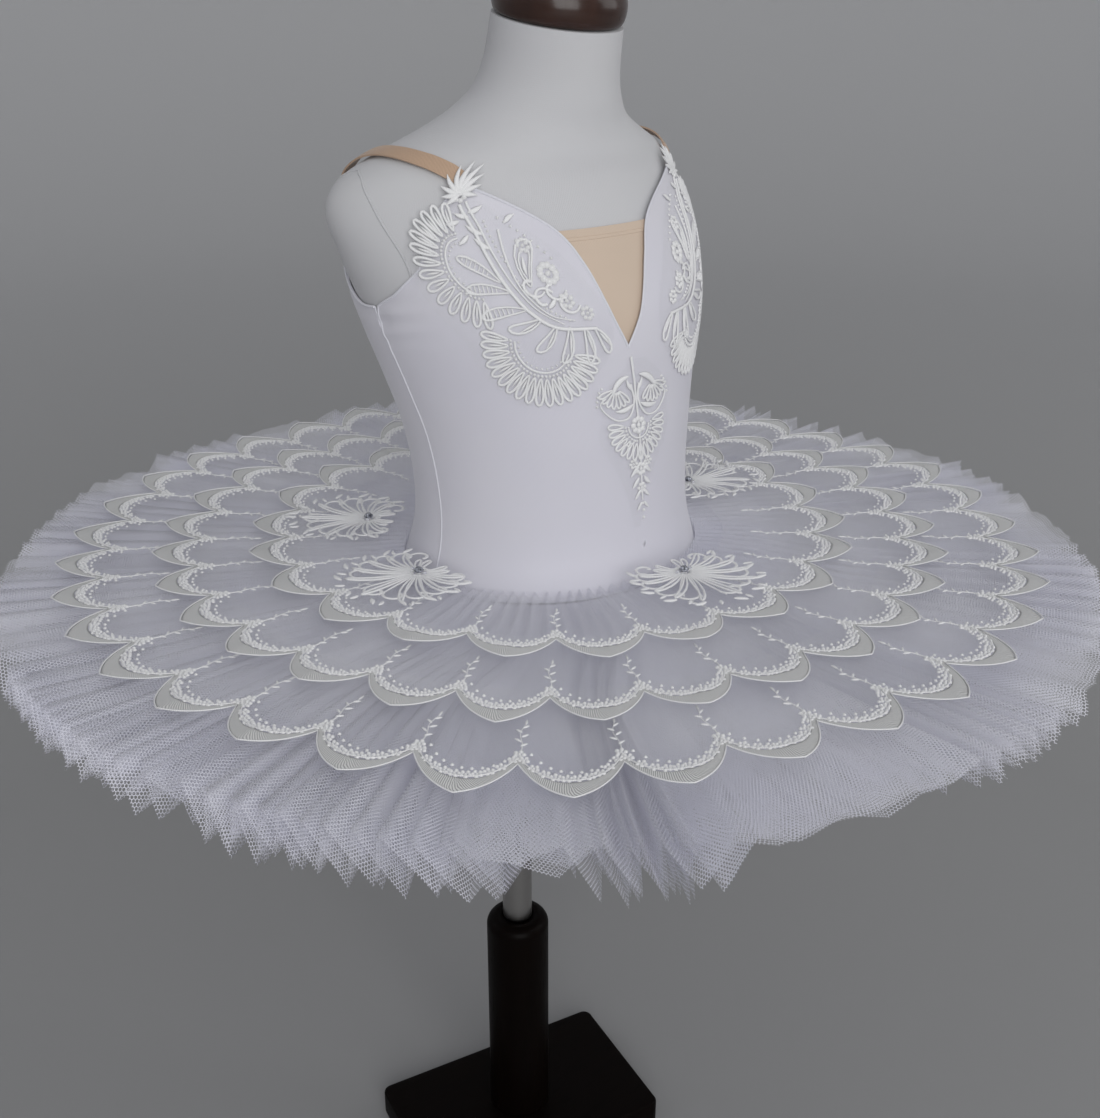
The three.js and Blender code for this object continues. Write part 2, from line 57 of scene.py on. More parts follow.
MM = 0.001
BODY = "root"

Color = tuple[float, float, float]


# ---- Tables and the working surface -----------------------------------------------------------


class Section(Enum):
    """Columns of the table of torso sections."""

    HALF_WIDTH = 1
    HALF_DEPTH = 2
    BACK = 3
    SWEEP = 4
    TILT = 5


@dataclass(frozen=True)
class HeightTable:
    """Rows of numbers that each start with a height or an angle, in rising order."""

    rows: tuple[tuple[float, ...], ...]

    def smooth(self, height: np.ndarray, column: int) -> np.ndarray:
        """Read a column on one smooth curve.

        Args:
            height: Where to read it, in any shape.
            column: The column's number.

        Returns:
            The values, in the shape of height.
        """
        table = np.array(self.rows)
        keys = table[:, 0]
        last = len(keys) - 1
        low = np.clip(np.searchsorted(keys, height, side="left") - 1, 0, last - 1)
        before = np.maximum(low - 1, 0)
        after = np.minimum(low + 2, last)
        values = table[:, column]
        span = keys[low + 1] - keys[low]
        along = (height - keys[low]) / span
        slope_in = (values[low + 1] - values[before]) / (keys[low + 1] - keys[before]) * span
        slope_out = (values[after] - values[low]) / (keys[after] - keys[low]) * span
        square = along * along
        cube = square * along
        return (
            (2 * cube - 3 * square + 1) * values[low]
            + (cube - 2 * square + along) * slope_in
            + (3 * square - 2 * cube) * values[low + 1]
            + (cube - square) * slope_out
        )

    def straight(self, height: np.ndarray, column: int) -> np.ndarray:
        """Read a column on straight lines between the rows."""
        table = np.array(self.rows)
        return np.interp(height, table[:, 0], table[:, column])


TORSO_SECTIONS = HeightTable((
    (-165, 46, 42, 30, 0, 0),
    (-158, 66, 58, 26, 0, 0),
    (-145, 84, 73, 20, 0, 0),
    (-120, 99, 84, 14, 0, 0),
    (-80, 105, 90, 9, 0, 0),
    (-40, 103, 88, 4, 0, 0),
    (-5, 96, 83, -1, 0, 0),
    (25, 88, 76, -2, 0, 0),
    (55, 87, 75, -1, 0, 0),
    (90, 91, 78, 2, 1, 0),
    (120, 99, 81, 6, 3, 0),
    (145, 107, 83, 8, 6, 0),
    (165, 113, 81, 9, 10, 0),
    (190, 121, 73, 12, 15, 0),
    (214, 125, 62, 16, 20, 0),
    (230, 117, 56, 16, 19, 0),
    (243, 96, 52, 13, 13, 1),
    (253, 73, 48, 10, 7, 3),
    (262, 55, 45, 7, 3, 5),
    (272, 44, 42, 3, 0, 7),
    (286, 38.5, 39, -1, 0, 9),
    (311, 36.5, 37, -6, 0, 10.6),
))

# Height, then the neckline's and the armhole's angle from the front.
FRONT_EDGES = HeightTable((
    (143, 0, 88),
    (158, 4.5, 88),
    (167, 6.5, 86),
    (175, 8, 74),
    (188, 10.5, 61),
    (204, 15, 52.5),
    (215, 22, 48.5),
    (223, 30, 45.5),
    (228, 36.5, 43),
))

# Angle from the front, then the height of the back's top edge.
BACK_EDGE = HeightTable((
    (88, 166),
    (100, 166),
    (112, 174),
    (124, 187),
    (134, 194),
    (143, 190),
    (152, 168),
    (164, 146),
    (180, 138),
))

# Angle from the middle of a panel, then the height of the leg opening.
LEG_EDGE = HeightTable((
    (0, -141),
    (16, -140),
    (30, -132),
    (48, -113),
    (68, -92),
    (88, -76),
))

# Outlines of the bodice lace: height, then the first and last angle.
BREAST_OUTLINE = HeightTable((
    (116, 27, 42),
    (126, 19, 48),
    (138, 12, 52),
    (152, 9, 54),
    (166, 10, 59),
    (180, 14, 61),
    (196, 19, 60),
    (210, 26, 51),
    (222, 34, 43),
))
CENTRE_OUTLINE = HeightTable((
    (34, -1.5, 1.5),
    (50, -4, 4),
    (66, -8, 8),
    (82, -14, 14),
    (94, -17, 17),
    (104, -15, 15),
    (116, -16, 16),
    (127, -9, 9),
    (136, -3, 3),
))

# A strap's angle and height over the shoulder, front to back.
STRAP_ROUTE = (
    (43.5, 233),
    (50, 237),
    (62, 241),
    (80, 243.5),
    (100, 242.5),
    (118, 236),
    (128, 225),
    (133, 210),
    (134, 196.5),
)


@dataclass(frozen=True)
class TorsoForm:
    """The dress form's skin, on which the bodice, the lace and the skirt's start are laid.

    Args:
        waist: Height of the waist above the ground, in metres.
    """

    waist: float

    def skin(self, angle: np.ndarray, height: np.ndarray) -> np.ndarray:
        """Places on the skin in millimetres from the waist's centre."""
        turn = np.radians(angle)
        half_width = TORSO_SECTIONS.smooth(height, Section.HALF_WIDTH.value)
        half_depth = TORSO_SECTIONS.smooth(height, Section.HALF_DEPTH.value)
        back = TORSO_SECTIONS.smooth(height, Section.BACK.value)
        sweep = TORSO_SECTIONS.smooth(height, Section.SWEEP.value) * np.sin(turn) ** 2
        tilt = np.radians(TORSO_SECTIONS.smooth(height, Section.TILT.value))
        depth = sweep - half_depth * np.cos(turn)
        return np.stack(
            [half_width * np.sin(turn), back + depth * np.cos(tilt), height + depth * np.sin(tilt)],
            axis=-1,
        )

    def normal(self, angle: np.ndarray, height: np.ndarray) -> np.ndarray:
        """Outward unit normals of the skin."""
        step = 0.5
        across = self.skin(angle + step, height) - self.skin(angle - step, height)
        up = self.skin(angle, height + step) - self.skin(angle, height - step)
        return unit(np.cross(across, up))

    def point(self, angle: np.ndarray, height: np.ndarray, offset: np.ndarray | float) -> np.ndarray:
        """Places off the skin, in metres in the part's frame.

        Args:
            angle: Angles from the front, in degrees.
            height: Heights from the waist, in millimetres.
            offset: Distance out from the skin, in millimetres.

        Returns:
            Points with a last axis of three.
        """
        angle, height = np.broadcast_arrays(np.asarray(angle, float), np.asarray(height, float))
        gap = np.asarray(offset, float)[..., None] * np.ones(1)
        return self.world(self.skin(angle, height) + self.normal(angle, height) * gap)

    def drift(self, height: np.ndarray) -> np.ndarray:
        """How far the bodice's centre line has slipped round the form, in degrees."""
        return np.interp(height, [34, 80, 124, 143, 170, 225], [1.5, -1, -4, -6, -5, -2])

    def world(self, place: np.ndarray) -> np.ndarray:
        """Millimetres from the waist's centre as metres in the part's frame."""
        return place * MM + np.array([0.0, 0.0, self.waist])


def unit(vectors: np.ndarray) -> np.ndarray:
    """The same vectors at length one."""
    return vectors / np.maximum(np.linalg.norm(vectors, axis=-1, keepdims=True), 1e-12)


def ease(value: np.ndarray | float, start: float, end: float) -> np.ndarray:
    """A smooth step from 0 at start to 1 at end."""
    share = np.clip((np.asarray(value, float) - start) / (end - start), 0.0, 1.0)
    return share * share * (3 - 2 * share)


def curve_through(knots: Sequence[Sequence[float]], count: int) -> np.ndarray:
    """An even run of places on a smooth curve through the knots.

    Args:
        knots: At least two places of any dimension.
        count: How many places to give back.

    Returns:
        Points of shape (count, dimension).
    """
    points = np.array(knots, float)
    ends = np.vstack([2 * points[0] - points[1], points, 2 * points[-1] - points[-2]])
    spans = len(points) - 1
    share = np.linspace(0, spans, 24 * spans + 1)
    low = np.minimum(share.astype(int), spans - 1)
    t = (share - low)[:, None]
    p0, p1, p2, p3 = (ends[low + k] for k in range(4))
    fine = 0.5 * (
        2 * p1 + (p2 - p0) * t + (2 * p0 - 5 * p1 + 4 * p2 - p3) * t**2
        + (3 * p1 - p0 - 3 * p2 + p3) * t**3
    )
    run = np.concatenate([[0], np.cumsum(np.linalg.norm(np.diff(fine, axis=0), axis=1))])
    even = np.linspace(0, run[-1], count)
    return np.stack([np.interp(even, run, fine[:, k]) for k in range(fine.shape[1])], axis=1)


# ---- Mesh making --------------------------------------------------------------------------------


@dataclass
class MeshPot:
    """Collects points and faces from many small shapes and turns them into one piece."""

    points: list[np.ndarray] = field(default_factory=list)
    faces: list[np.ndarray] = field(default_factory=list)
    uvs: list[np.ndarray] = field(default_factory=list)
    inks: list[np.ndarray] = field(default_factory=list)
    total: int = 0

    def add(self, points: np.ndarray, faces: np.ndarray, uvs: np.ndarray, ink: int = 0) -> None:
        """Take in one shape.

        Args:
            points: (n, 3) in metres.
            faces: (m, 4) indices into points; a triangle repeats its last index.
            uvs: (m, 4, 2), in metres along the cloth or the thread.
            ink: Number of the material slot.
        """
        self.points.append(points)
        self.faces.append(faces + self.total)
        self.uvs.append(uvs)
        self.inks.append(np.full(len(faces), ink))
        self.total += len(points)

    def grid(self, points: np.ndarray, uvs: np.ndarray, closed: bool = False, flip: bool = False,
             ink: int = 0) -> None:
        """Take in a grid of points held row by row.

        Args:
            points: (rows, columns, 3).
            uvs: (rows, columns, 2), with one more column if closed.
            closed: Whether the last column joins the first.
            flip: Whether to turn the faces round.
            ink: Number of the material slot.
        """
        rows, columns = points.shape[:2]
        spans = columns if closed else columns - 1
        row, column = np.meshgrid(np.arange(rows - 1), np.arange(spans), indexing="ij")
        row, column = row.ravel(), column.ravel()
        corners = [(row, column), (row, column + 1), (row + 1, column + 1), (row + 1, column)]
        if flip:
            corners.reverse()
        faces = np.stack([r * columns + c % columns for r, c in corners], axis=1)
        mapped = np.stack([uvs[r, c] for r, c in corners], axis=1)
        self.add(points.reshape(-1, 3), faces, mapped, ink)

    def tube(self, path: np.ndarray, normal: np.ndarray, half_width: np.ndarray,
             half_height: np.ndarray, sides: int = 6, closed: bool = False, ink: int = 0) -> None:
        """Take in a cord of flattened round section that follows a path.

        Args:
            path: (n, 3) middle line.
            normal: (n, 3) the cord's own up.
            half_width: (n,) half its breadth.
            half_height: (n,) half its thickness.
            sides: Corners of the section.
            closed: Whether the cord's end meets its start.
            ink: Number of the material slot.
        """
        ahead = np.roll(path, -1, axis=0) - np.roll(path, 1, axis=0)
        if not closed:
            ahead[0] = path[1] - path[0]
            ahead[-1] = path[-1] - path[-2]
        sideways = unit(np.cross(unit(ahead), normal))
        lift = unit(np.cross(sideways, unit(ahead)))
        turn = np.arange(sides) * 2 * np.pi / sides
        ring = (
            path[:, None]
            + sideways[:, None] * (np.cos(turn)[None, :, None] * half_width[:, None, None])
            + lift[:, None] * (np.sin(turn)[None, :, None] * half_height[:, None, None])
        )
        if closed:
            ring = np.concatenate([ring, ring[:1]])
            path = np.concatenate([path, path[:1]])
        run = np.concatenate([[0], np.cumsum(np.linalg.norm(np.diff(path, axis=0), axis=1))])
        girth = np.linspace(0, 2 * np.pi, sides + 1) * float(np.mean(half_width))
        uvs = np.stack(np.broadcast_arrays(run[:, None], girth[None]), axis=-1)
        if closed:
            rows = len(path) - 1
            row, column = np.meshgrid(np.arange(rows), np.arange(sides), indexing="ij")
            row, column = row.ravel(), column.ravel()
            corners = [(row, column), (row, column + 1), (row + 1, column + 1), (row + 1, column)]
            faces = np.stack([(r % rows) * sides + c % sides for r, c in corners], axis=1)
            mapped = np.stack([uvs[r, c] for r, c in corners], axis=1)
            self.add(ring[:-1].reshape(-1, 3), faces, mapped, ink)
            return
        self.grid(ring, uvs, closed=True, ink=ink)
        self._cap(ring[0], True, ink)
        self._cap(ring[-1], False, ink)

    def _cap(self, ring: np.ndarray, first: bool, ink: int) -> None:
        """Close a cord's end with a fan to its middle."""
        count = len(ring)
        middle = count
        around = np.arange(count)
        after = (around + 1) % count
        pair = [after, around] if first else [around, after]
        faces = np.stack([pair[0], pair[1], np.full(count, middle), np.full(count, middle)], axis=1)
        points = np.vstack([ring, ring.mean(axis=0)])
        self.add(points, faces, np.zeros((count, 4, 2)), ink)

    def dome(self, centre: np.ndarray, normal: np.ndarray, radius: float, height: float,
             sides: int = 6, ink: int = 0) -> None:
        """Take in a bead: a low dome on a surface."""
        across = unit(np.cross(normal, np.array([0.31, 0.83, 0.47])))
        along = np.cross(normal, across)
        turn = np.arange(sides) * 2 * np.pi / sides
        out = np.cos(turn)[:, None] * across + np.sin(turn)[:, None] * along
        rings = np.stack([
            centre + out * radius,
            centre + out * radius * 0.8 + normal * height * 0.6,
            centre + out * radius * 0.2 + normal * height,
        ])
        uvs = np.zeros((3, sides + 1, 2))
        uvs[..., 0] = np.linspace(0, 2 * np.pi * radius, sides + 1)
        uvs[..., 1] = np.array([0, 0.5, 1])[:, None] * radius
        self.grid(rings, uvs, closed=True, ink=ink)
        self._cap(rings[-1], False, ink)
        self._cap(rings[0], True, ink)

    def piece(self, name: str, materials: Sequence[bpy.types.Material],
              smooth: bool = True) -> bpy.types.Object:
        """Make the piece from all that was taken in.

        Args:
            name: The piece's name.
            materials: Its material slots, in the order of their numbers.
            smooth: Whether it is shaded smooth.

        Returns:
            The new object, linked to the scene.
        """
        points = np.concatenate(self.points)
        quads = np.concatenate(self.faces)
        uvs = np.concatenate(self.uvs)
        inks = np.concatenate(self.inks)
        is_triangle = quads[:, 2] == quads[:, 3]
        sizes = np.where(is_triangle, 3, 4)
        keep = np.ones((len(quads), 4), bool)
        keep[is_triangle, 3] = False
        mesh = bpy.data.meshes.new(name)
        mesh.vertices.add(len(points))
        mesh.vertices.foreach_set("co", points.ravel())
        mesh.loops.add(int(sizes.sum()))
        mesh.loops.foreach_set("vertex_index", quads[keep].astype(np.int32))
        mesh.polygons.add(len(quads))
        starts = np.concatenate([[0], np.cumsum(sizes)[:-1]])
        mesh.polygons.foreach_set("loop_start", starts.astype(np.int32))
        mesh.polygons.foreach_set("material_index", inks.astype(np.int32))
        mesh.polygons.foreach_set("use_smooth", np.full(len(quads), smooth))
        layer = mesh.uv_layers.new(name="cloth")
        layer.data.foreach_set("uv", uvs[keep].astype(np.float32).ravel())
        for material in materials:
            mesh.materials.append(material)
        mesh.update(calc_edges=True)
        mesh.validate()
        piece = bpy.data.objects.new(name, mesh)
        bpy.context.scene.collection.objects.link(piece)
        return piece


def settle(piece: bpy.types.Object, nodes: Sequence[str]) -> bpy.types.Object:
    """Give a piece its body and the nodes that it stands for.

    Args:
        piece: The new piece.
        nodes: Names of the CAD nodes.

    Returns:
        The same piece.
    """
    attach(piece, BODY)
    if nodes:
        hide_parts(*nodes)
    LOG.info("%s: %d faces", piece.name, len(piece.data.polygons))
    return piece


# ---- Shader node groups -------------------------------------------------------------------------


class Tree:
    """A small hand for wiring shader nodes.

    Args:
        tree: The node tree to build in.
    """

    def __init__(self, tree: bpy.types.NodeTree) -> None:
        """Start on a tree."""
        self.tree = tree

    def node(self, kind: str, **settings: object) -> bpy.types.Node:
        """Add a node and set its properties."""
        made = self.tree.nodes.new(kind)
        for key, value in settings.items():
            setattr(made, key, value)
        return made

    def feed(self, socket: bpy.types.NodeSocket, value: object) -> None:
        """Link a socket to an input, or set the input's own value."""
        if isinstance(value, bpy.types.NodeSocket):
            self.tree.links.new(value, socket)
        elif value is not None:
            socket.default_value = value

    def math(self, operation: str, first: object, second: object = None,
             third: object = None) -> bpy.types.NodeSocket:
        """A Math node's result."""
        made = self.node("ShaderNodeMath", operation=operation)
        for socket, value in zip(made.inputs, (first, second, third)):
            self.feed(socket, value)
        return made.outputs[0]

    def vector(self, operation: str, first: object, second: object = None) -> bpy.types.NodeSocket:
        """A Vector Math node's vector result."""
        made = self.node("ShaderNodeVectorMath", operation=operation)
        self.feed(made.inputs[0], first)
        self.feed(made.inputs[1], second)
        return made.outputs["Vector"]

    def noise(self, place: object, scale: float, detail: float = 2.0) -> bpy.types.NodeSocket:
        """A noise value from 0 to 1."""
        made = self.node("ShaderNodeTexNoise")
        self.feed(made.inputs["Vector"], place)
        made.inputs["Scale"].default_value = scale
        made.inputs["Detail"].default_value = detail
        return made.outputs["Fac"]

    def remap(self, value: object, low: float, high: float, to_low: float,
              to_high: float) -> bpy.types.NodeSocket:
        """A value moved smoothly from one range to another."""
        made = self.node("ShaderNodeMapRange", interpolation_type="SMOOTHSTEP")
        for name, entry in zip(("Value", "From Min", "From Max", "To Min", "To Max"),
                               (value, low, high, to_low, to_high)):
            self.feed(made.inputs[name], entry)
        return made.outputs["Result"]

    def blend(self, share: object, first: object, second: object) -> bpy.types.NodeSocket:
        """A mix of two colours."""
        made = self.node("ShaderNodeMix", data_type="RGBA")
        self.feed(made.inputs[0], share)
        self.feed(made.inputs[6], rgba(first))
        self.feed(made.inputs[7], rgba(second))
        return made.outputs[2]

    def bump(self, height: object, strength: float, distance: float) -> bpy.types.NodeSocket:
        """A normal bumped by a height in metres times distance."""
        made = self.node("ShaderNodeBump")
        made.inputs["Strength"].default_value = strength
        made.inputs["Distance"].default_value = distance
        self.feed(made.inputs["Height"], height)
        return made.outputs["Normal"]

    def place(self) -> bpy.types.NodeSocket:
        """Object coordinates, in metres."""
        return self.node("ShaderNodeTexCoord").outputs["Object"]

    def cloth(self) -> bpy.types.NodeSocket:
        """The piece's own cloth coordinates, in metres."""
        return self.node("ShaderNodeUVMap", uv_map="cloth").outputs["UV"]


def rgba(value: object) -> object:
    """A colour as four numbers; anything else unchanged."""
    return (*value, 1.0) if isinstance(value, tuple) and len(value) == 3 else value


class Effect(Enum):
    """Shader effects that several finishes share, each made once as a node group."""

    MESH = "hexagonal mesh"
    WEAVE = "fine knit"
    THREAD = "laid thread"
    GRAIN = "wood grain"
    CLOUD = "soft unevenness"


class EffectLibrary:
    """Builds each shared effect the first time that it is asked for."""

    def __init__(self) -> None:
        """Start empty."""
        self.made: dict[Effect, bpy.types.NodeTree] = {}

    def use(self, tree: Tree, effect: Effect, **inputs: object) -> bpy.types.Node:
        """Place an effect in a material.

        Args:
            tree: The material's tree.
            effect: Which effect.
            inputs: Values by socket name, with underscores for spaces.

        Returns:
            The group node, whose outputs are read by name.
        """
        if effect not in self.made:
            self.made[effect] = getattr(self, f"_{effect.name.lower()}")()
        made = tree.node("ShaderNodeGroup", node_tree=self.made[effect])
        for key, value in inputs.items():
            tree.feed(made.inputs[key.replace("_", " ")], value)
        return made

    def _start(self, effect: Effect, inputs: Sequence[tuple[str, str, object]],
               outputs: Sequence[tuple[str, str]]) -> tuple[Tree, bpy.types.Node, bpy.types.Node]:
        """A new group with named sockets.

        Args:
            effect: Gives the group's name.
            inputs: Name, socket kind and default of each input.
            outputs: Name and socket kind of each output.

        Returns:
            The tree, its input node and its output node.
        """
        group = bpy.data.node_groups.new(effect.value, "ShaderNodeTree")
        for name, kind, default in inputs:
            socket = group.interface.new_socket(name, in_out="INPUT", socket_type=kind)
            if default is not None:
                socket.default_value = default
        for name, kind in outputs:
            group.interface.new_socket(name, in_out="OUTPUT", socket_type=kind)
        tree = Tree(group)
        return tree, tree.node("NodeGroupInput"), tree.node("NodeGroupOutput")

    def _mesh(self) -> bpy.types.NodeTree:
        """Threads of a hexagonal net: 1 on a thread and 0 in a hole."""
        tree, into, out = self._start(
            Effect.MESH,
            [("Vector", "NodeSocketVector", None), ("Cell", "NodeSocketFloat", 0.0022),
             ("Thread", "NodeSocketFloat", 0.2)],
            [("Mask", "NodeSocketFloat")],
        )
        inverse = tree.math("DIVIDE", 1.0, into.outputs["Cell"])
        scaled = tree.node("ShaderNodeVectorMath", operation="SCALE")
        tree.feed(scaled.inputs[0], into.outputs["Vector"])
        tree.feed(scaled.inputs["Scale"], inverse)
        period = (1.0, math.sqrt(3), 1.0)
        reaches = []
        for shift in ((0.0, 0.0, 0.0), (0.5, math.sqrt(3) / 2, 0.0)):
            moved = tree.vector("ADD", scaled.outputs["Vector"], shift)
            wrapped = tree.vector("MODULO", tree.vector("ADD", tree.vector("MODULO", moved, period),
                                                        period), period)
            local = tree.vector("SUBTRACT", wrapped, tuple(side / 2 for side in period))
            split = tree.node("ShaderNodeSeparateXYZ")
            tree.feed(split.inputs[0], local)
            across = tree.math("ABSOLUTE", split.outputs["X"])
            along = tree.math("ABSOLUTE", split.outputs["Y"])
            slanted = tree.math(
                "ADD", tree.math("MULTIPLY", across, 0.5),
                tree.math("MULTIPLY", along, math.sqrt(3) / 2))
            reaches.append(tree.math("MAXIMUM", across, slanted))
        nearest = tree.math("MINIMUM", *reaches)
        depth = tree.math("SUBTRACT", 0.5, nearest)
        half = tree.math("MULTIPLY", into.outputs["Thread"], 0.5)
        mask = tree.remap(tree.math("SUBTRACT", depth, half), -0.03, 0.03, 1.0, 0.0)
        tree.feed(out.inputs["Mask"], mask)
        return tree.tree

    def _weave(self) -> bpy.types.NodeTree:
        """Height of a fine stretch knit."""
        tree, into, out = self._start(
            Effect.WEAVE,
            [("Vector", "NodeSocketVector", None), ("Pitch", "NodeSocketFloat", 0.0006)],
            [("Height", "NodeSocketFloat"), ("Shade", "NodeSocketFloat")],
        )
        split = tree.node("ShaderNodeSeparateXYZ")
        tree.feed(split.inputs[0], into.outputs["Vector"])
        rate = tree.math("DIVIDE", 2 * math.pi, into.outputs["Pitch"])
        ribs = tree.math("SINE", tree.math("MULTIPLY", split.outputs["X"], rate))
        rows = tree.math("SINE", tree.math("MULTIPLY", split.outputs["Y"],
                                           tree.math("MULTIPLY", rate, 0.8)))
        knit = tree.math("MULTIPLY_ADD", tree.math("MULTIPLY", ribs, rows), 0.25, 0.5)
        tree.feed(out.inputs["Height"], tree.math("MULTIPLY_ADD", ribs, 0.25, knit))
        tree.feed(out.inputs["Shade"], knit)
        return tree.tree

    def _thread(self) -> bpy.types.NodeTree:
        """Threads laid side by side across a cord or a border."""
        tree, into, out = self._start(
            Effect.THREAD,
            [("Vector", "NodeSocketVector", None), ("Pitch", "NodeSocketFloat", 0.0008)],
            [("Height", "NodeSocketFloat"), ("Shade", "NodeSocketFloat")],
        )
        split = tree.node("ShaderNodeSeparateXYZ")
        tree.feed(split.inputs[0], into.outputs["Vector"])
        waver = tree.math("MULTIPLY", tree.noise(into.outputs["Vector"], 900.0), 2.5)
        rate = tree.math("DIVIDE", 2 * math.pi, into.outputs["Pitch"])
        lean = tree.math("MULTIPLY_ADD", split.outputs["Y"], 0.45, split.outputs["X"])
        wave = tree.math("SINE", tree.math("MULTIPLY_ADD", lean, rate, waver))
        height = tree.math("MULTIPLY_ADD", wave, 0.5, 0.5)
        tree.feed(out.inputs["Height"], height)
        tree.feed(out.inputs["Shade"], tree.math("POWER", height, 0.6))
        return tree.tree

    def _grain(self) -> bpy.types.NodeTree:
        """Long fine wood grain and pores."""
        tree, into, out = self._start(
            Effect.GRAIN,
            [("Vector", "NodeSocketVector", None), ("Stretch", "NodeSocketVector", (9, 9, 1))],
            [("Streak", "NodeSocketFloat"), ("Pore", "NodeSocketFloat")],
        )
        long = tree.vector("MULTIPLY", into.outputs["Vector"], into.outputs["Stretch"])
        tree.feed(out.inputs["Streak"], tree.noise(long, 14.0, 6.0))
        fine = tree.noise(long, 60.0, 3.0)
        tree.feed(out.inputs["Pore"], tree.remap(fine, 0.56, 0.7, 0.0, 1.0))
        return tree.tree

    def _cloud(self) -> bpy.types.NodeTree:
        """Soft unevenness from place to place, from 0 to 1."""
        tree, into, out = self._start(
            Effect.CLOUD,
            [("Vector", "NodeSocketVector", None), ("Scale", "NodeSocketFloat", 12.0)],
            [("Value", "NodeSocketFloat")],
        )
        made = tree.node("ShaderNodeTexNoise")
        tree.feed(made.inputs["Vector"], into.outputs["Vector"])
        tree.feed(made.inputs["Scale"], into.outputs["Scale"])
        made.inputs["Detail"].default_value = 3.0
        tree.feed(out.inputs["Value"], tree.remap(made.outputs["Fac"], 0.3, 0.7, 0.0, 1.0))
        return tree.tree


# ---- Finishes -----------------------------------------------------------------------------------


@dataclass(frozen=True)
class Finish:
    """A finish with the settings that every kind has.

    Args:
        name: The material's name.
        color: Its main colour, linear.
        roughness: Its main roughness.
    """

    name: str
    color: Color
    roughness: float

    def make(self, effects: EffectLibrary) -> bpy.types.Material:
        """Build the material."""
        material = bpy.data.materials.new(self.name)
        material.use_nodes = True
        material.node_tree.nodes.clear()
        tree = Tree(material.node_tree)
        shader = tree.node("ShaderNodeBsdfPrincipled")
        shader.inputs["Base Color"].default_value = rgba(self.color)
        shader.inputs["Roughness"].default_value = self.roughness
        out = tree.node("ShaderNodeOutputMaterial")
        tree.feed(out.inputs["Surface"], shader.outputs[0])
        self.dress(tree, shader, effects)
        return material

    def dress(self, tree: Tree, shader: bpy.types.Node, effects: EffectLibrary) -> None:
        """Wire what this kind of finish adds."""


@dataclass(frozen=True)
class StretchCloth(Finish):
    """A fine knitted stretch cloth.

    Args:
        shade: Colour of its cooler, shaded places.
        sheen: Weight of its sheen.
        pitch: Width of a knit rib, in metres.
    """

    shade: Color = (0.6, 0.6, 0.66)
    sheen: float = 0.2
    pitch: float = 0.0007

    def dress(self, tree: Tree, shader: bpy.types.Node, effects: EffectLibrary) -> None:
        """Knit relief, with the shade in soft patches."""
        shader.inputs["Sheen Weight"].default_value = self.sheen
        shader.inputs["Sheen Roughness"].default_value = 0.4
        cloud = effects.use(tree, Effect.CLOUD, Vector=tree.place(), Scale=9.0)
        knit = effects.use(tree, Effect.WEAVE, Vector=tree.cloth(), Pitch=self.pitch)
        mixed = tree.blend(tree.math("MULTIPLY", cloud.outputs["Value"], 0.5), self.color, self.shade)
        shaded = tree.blend(tree.math("MULTIPLY", knit.outputs["Shade"], 0.12), mixed, self.shade)
        tree.feed(shader.inputs["Base Color"], shaded)
        rough = tree.math("MULTIPLY_ADD", knit.outputs["Shade"], 0.1, self.roughness)
        tree.feed(shader.inputs["Roughness"], rough)
        tree.feed(shader.inputs["Normal"], tree.bump(knit.outputs["Height"], 0.35, 0.0002))


@dataclass(frozen=True)
class NetCloth(Finish):
    """Stiff hexagonal net, with holes that show what is behind it.

    Args:
        cell: Distance from one hole to the next, in metres.
        thread: Breadth of a thread as a share of the cell.
        tint: A second colour that it is mixed with in patches, which also colours its painted glow.
        glow: Strength of its painted glow, a faint emission standing in for light scattered from thread
            to thread, which lightens its shaded folds.
    """

    cell: float = 0.0015
    thread: float = 0.22
    tint: Color = (0.7, 0.7, 0.85)
    glow: float = 0.06

    def dress(self, tree: Tree, shader: bpy.types.Node, effects: EffectLibrary) -> None:
        """Open mesh by transparency, with a little unevenness of colour and a painted glow that lightens
        its shade.
        """
        cloth = tree.cloth()
        shader.inputs["Sheen Weight"].default_value = 0.25
        # Painted light: the net glows faintly in its tint, so its shaded faces and folds read lighter.
        shader.inputs["Emission Color"].default_value = rgba(self.tint)
        shader.inputs["Emission Strength"].default_value = self.glow
        mesh = effects.use(tree, Effect.MESH, Vector=cloth, Cell=self.cell, Thread=self.thread)
        cloud = effects.use(tree, Effect.CLOUD, Vector=tree.place(), Scale=14.0)
        tree.feed(shader.inputs["Base Color"], tree.blend(cloud.outputs["Value"], self.color, self.tint))
        tree.feed(shader.inputs["Alpha"], mesh.outputs["Mask"])
        tree.feed(shader.inputs["Normal"], tree.bump(mesh.outputs["Mask"], 0.3, 0.0002))


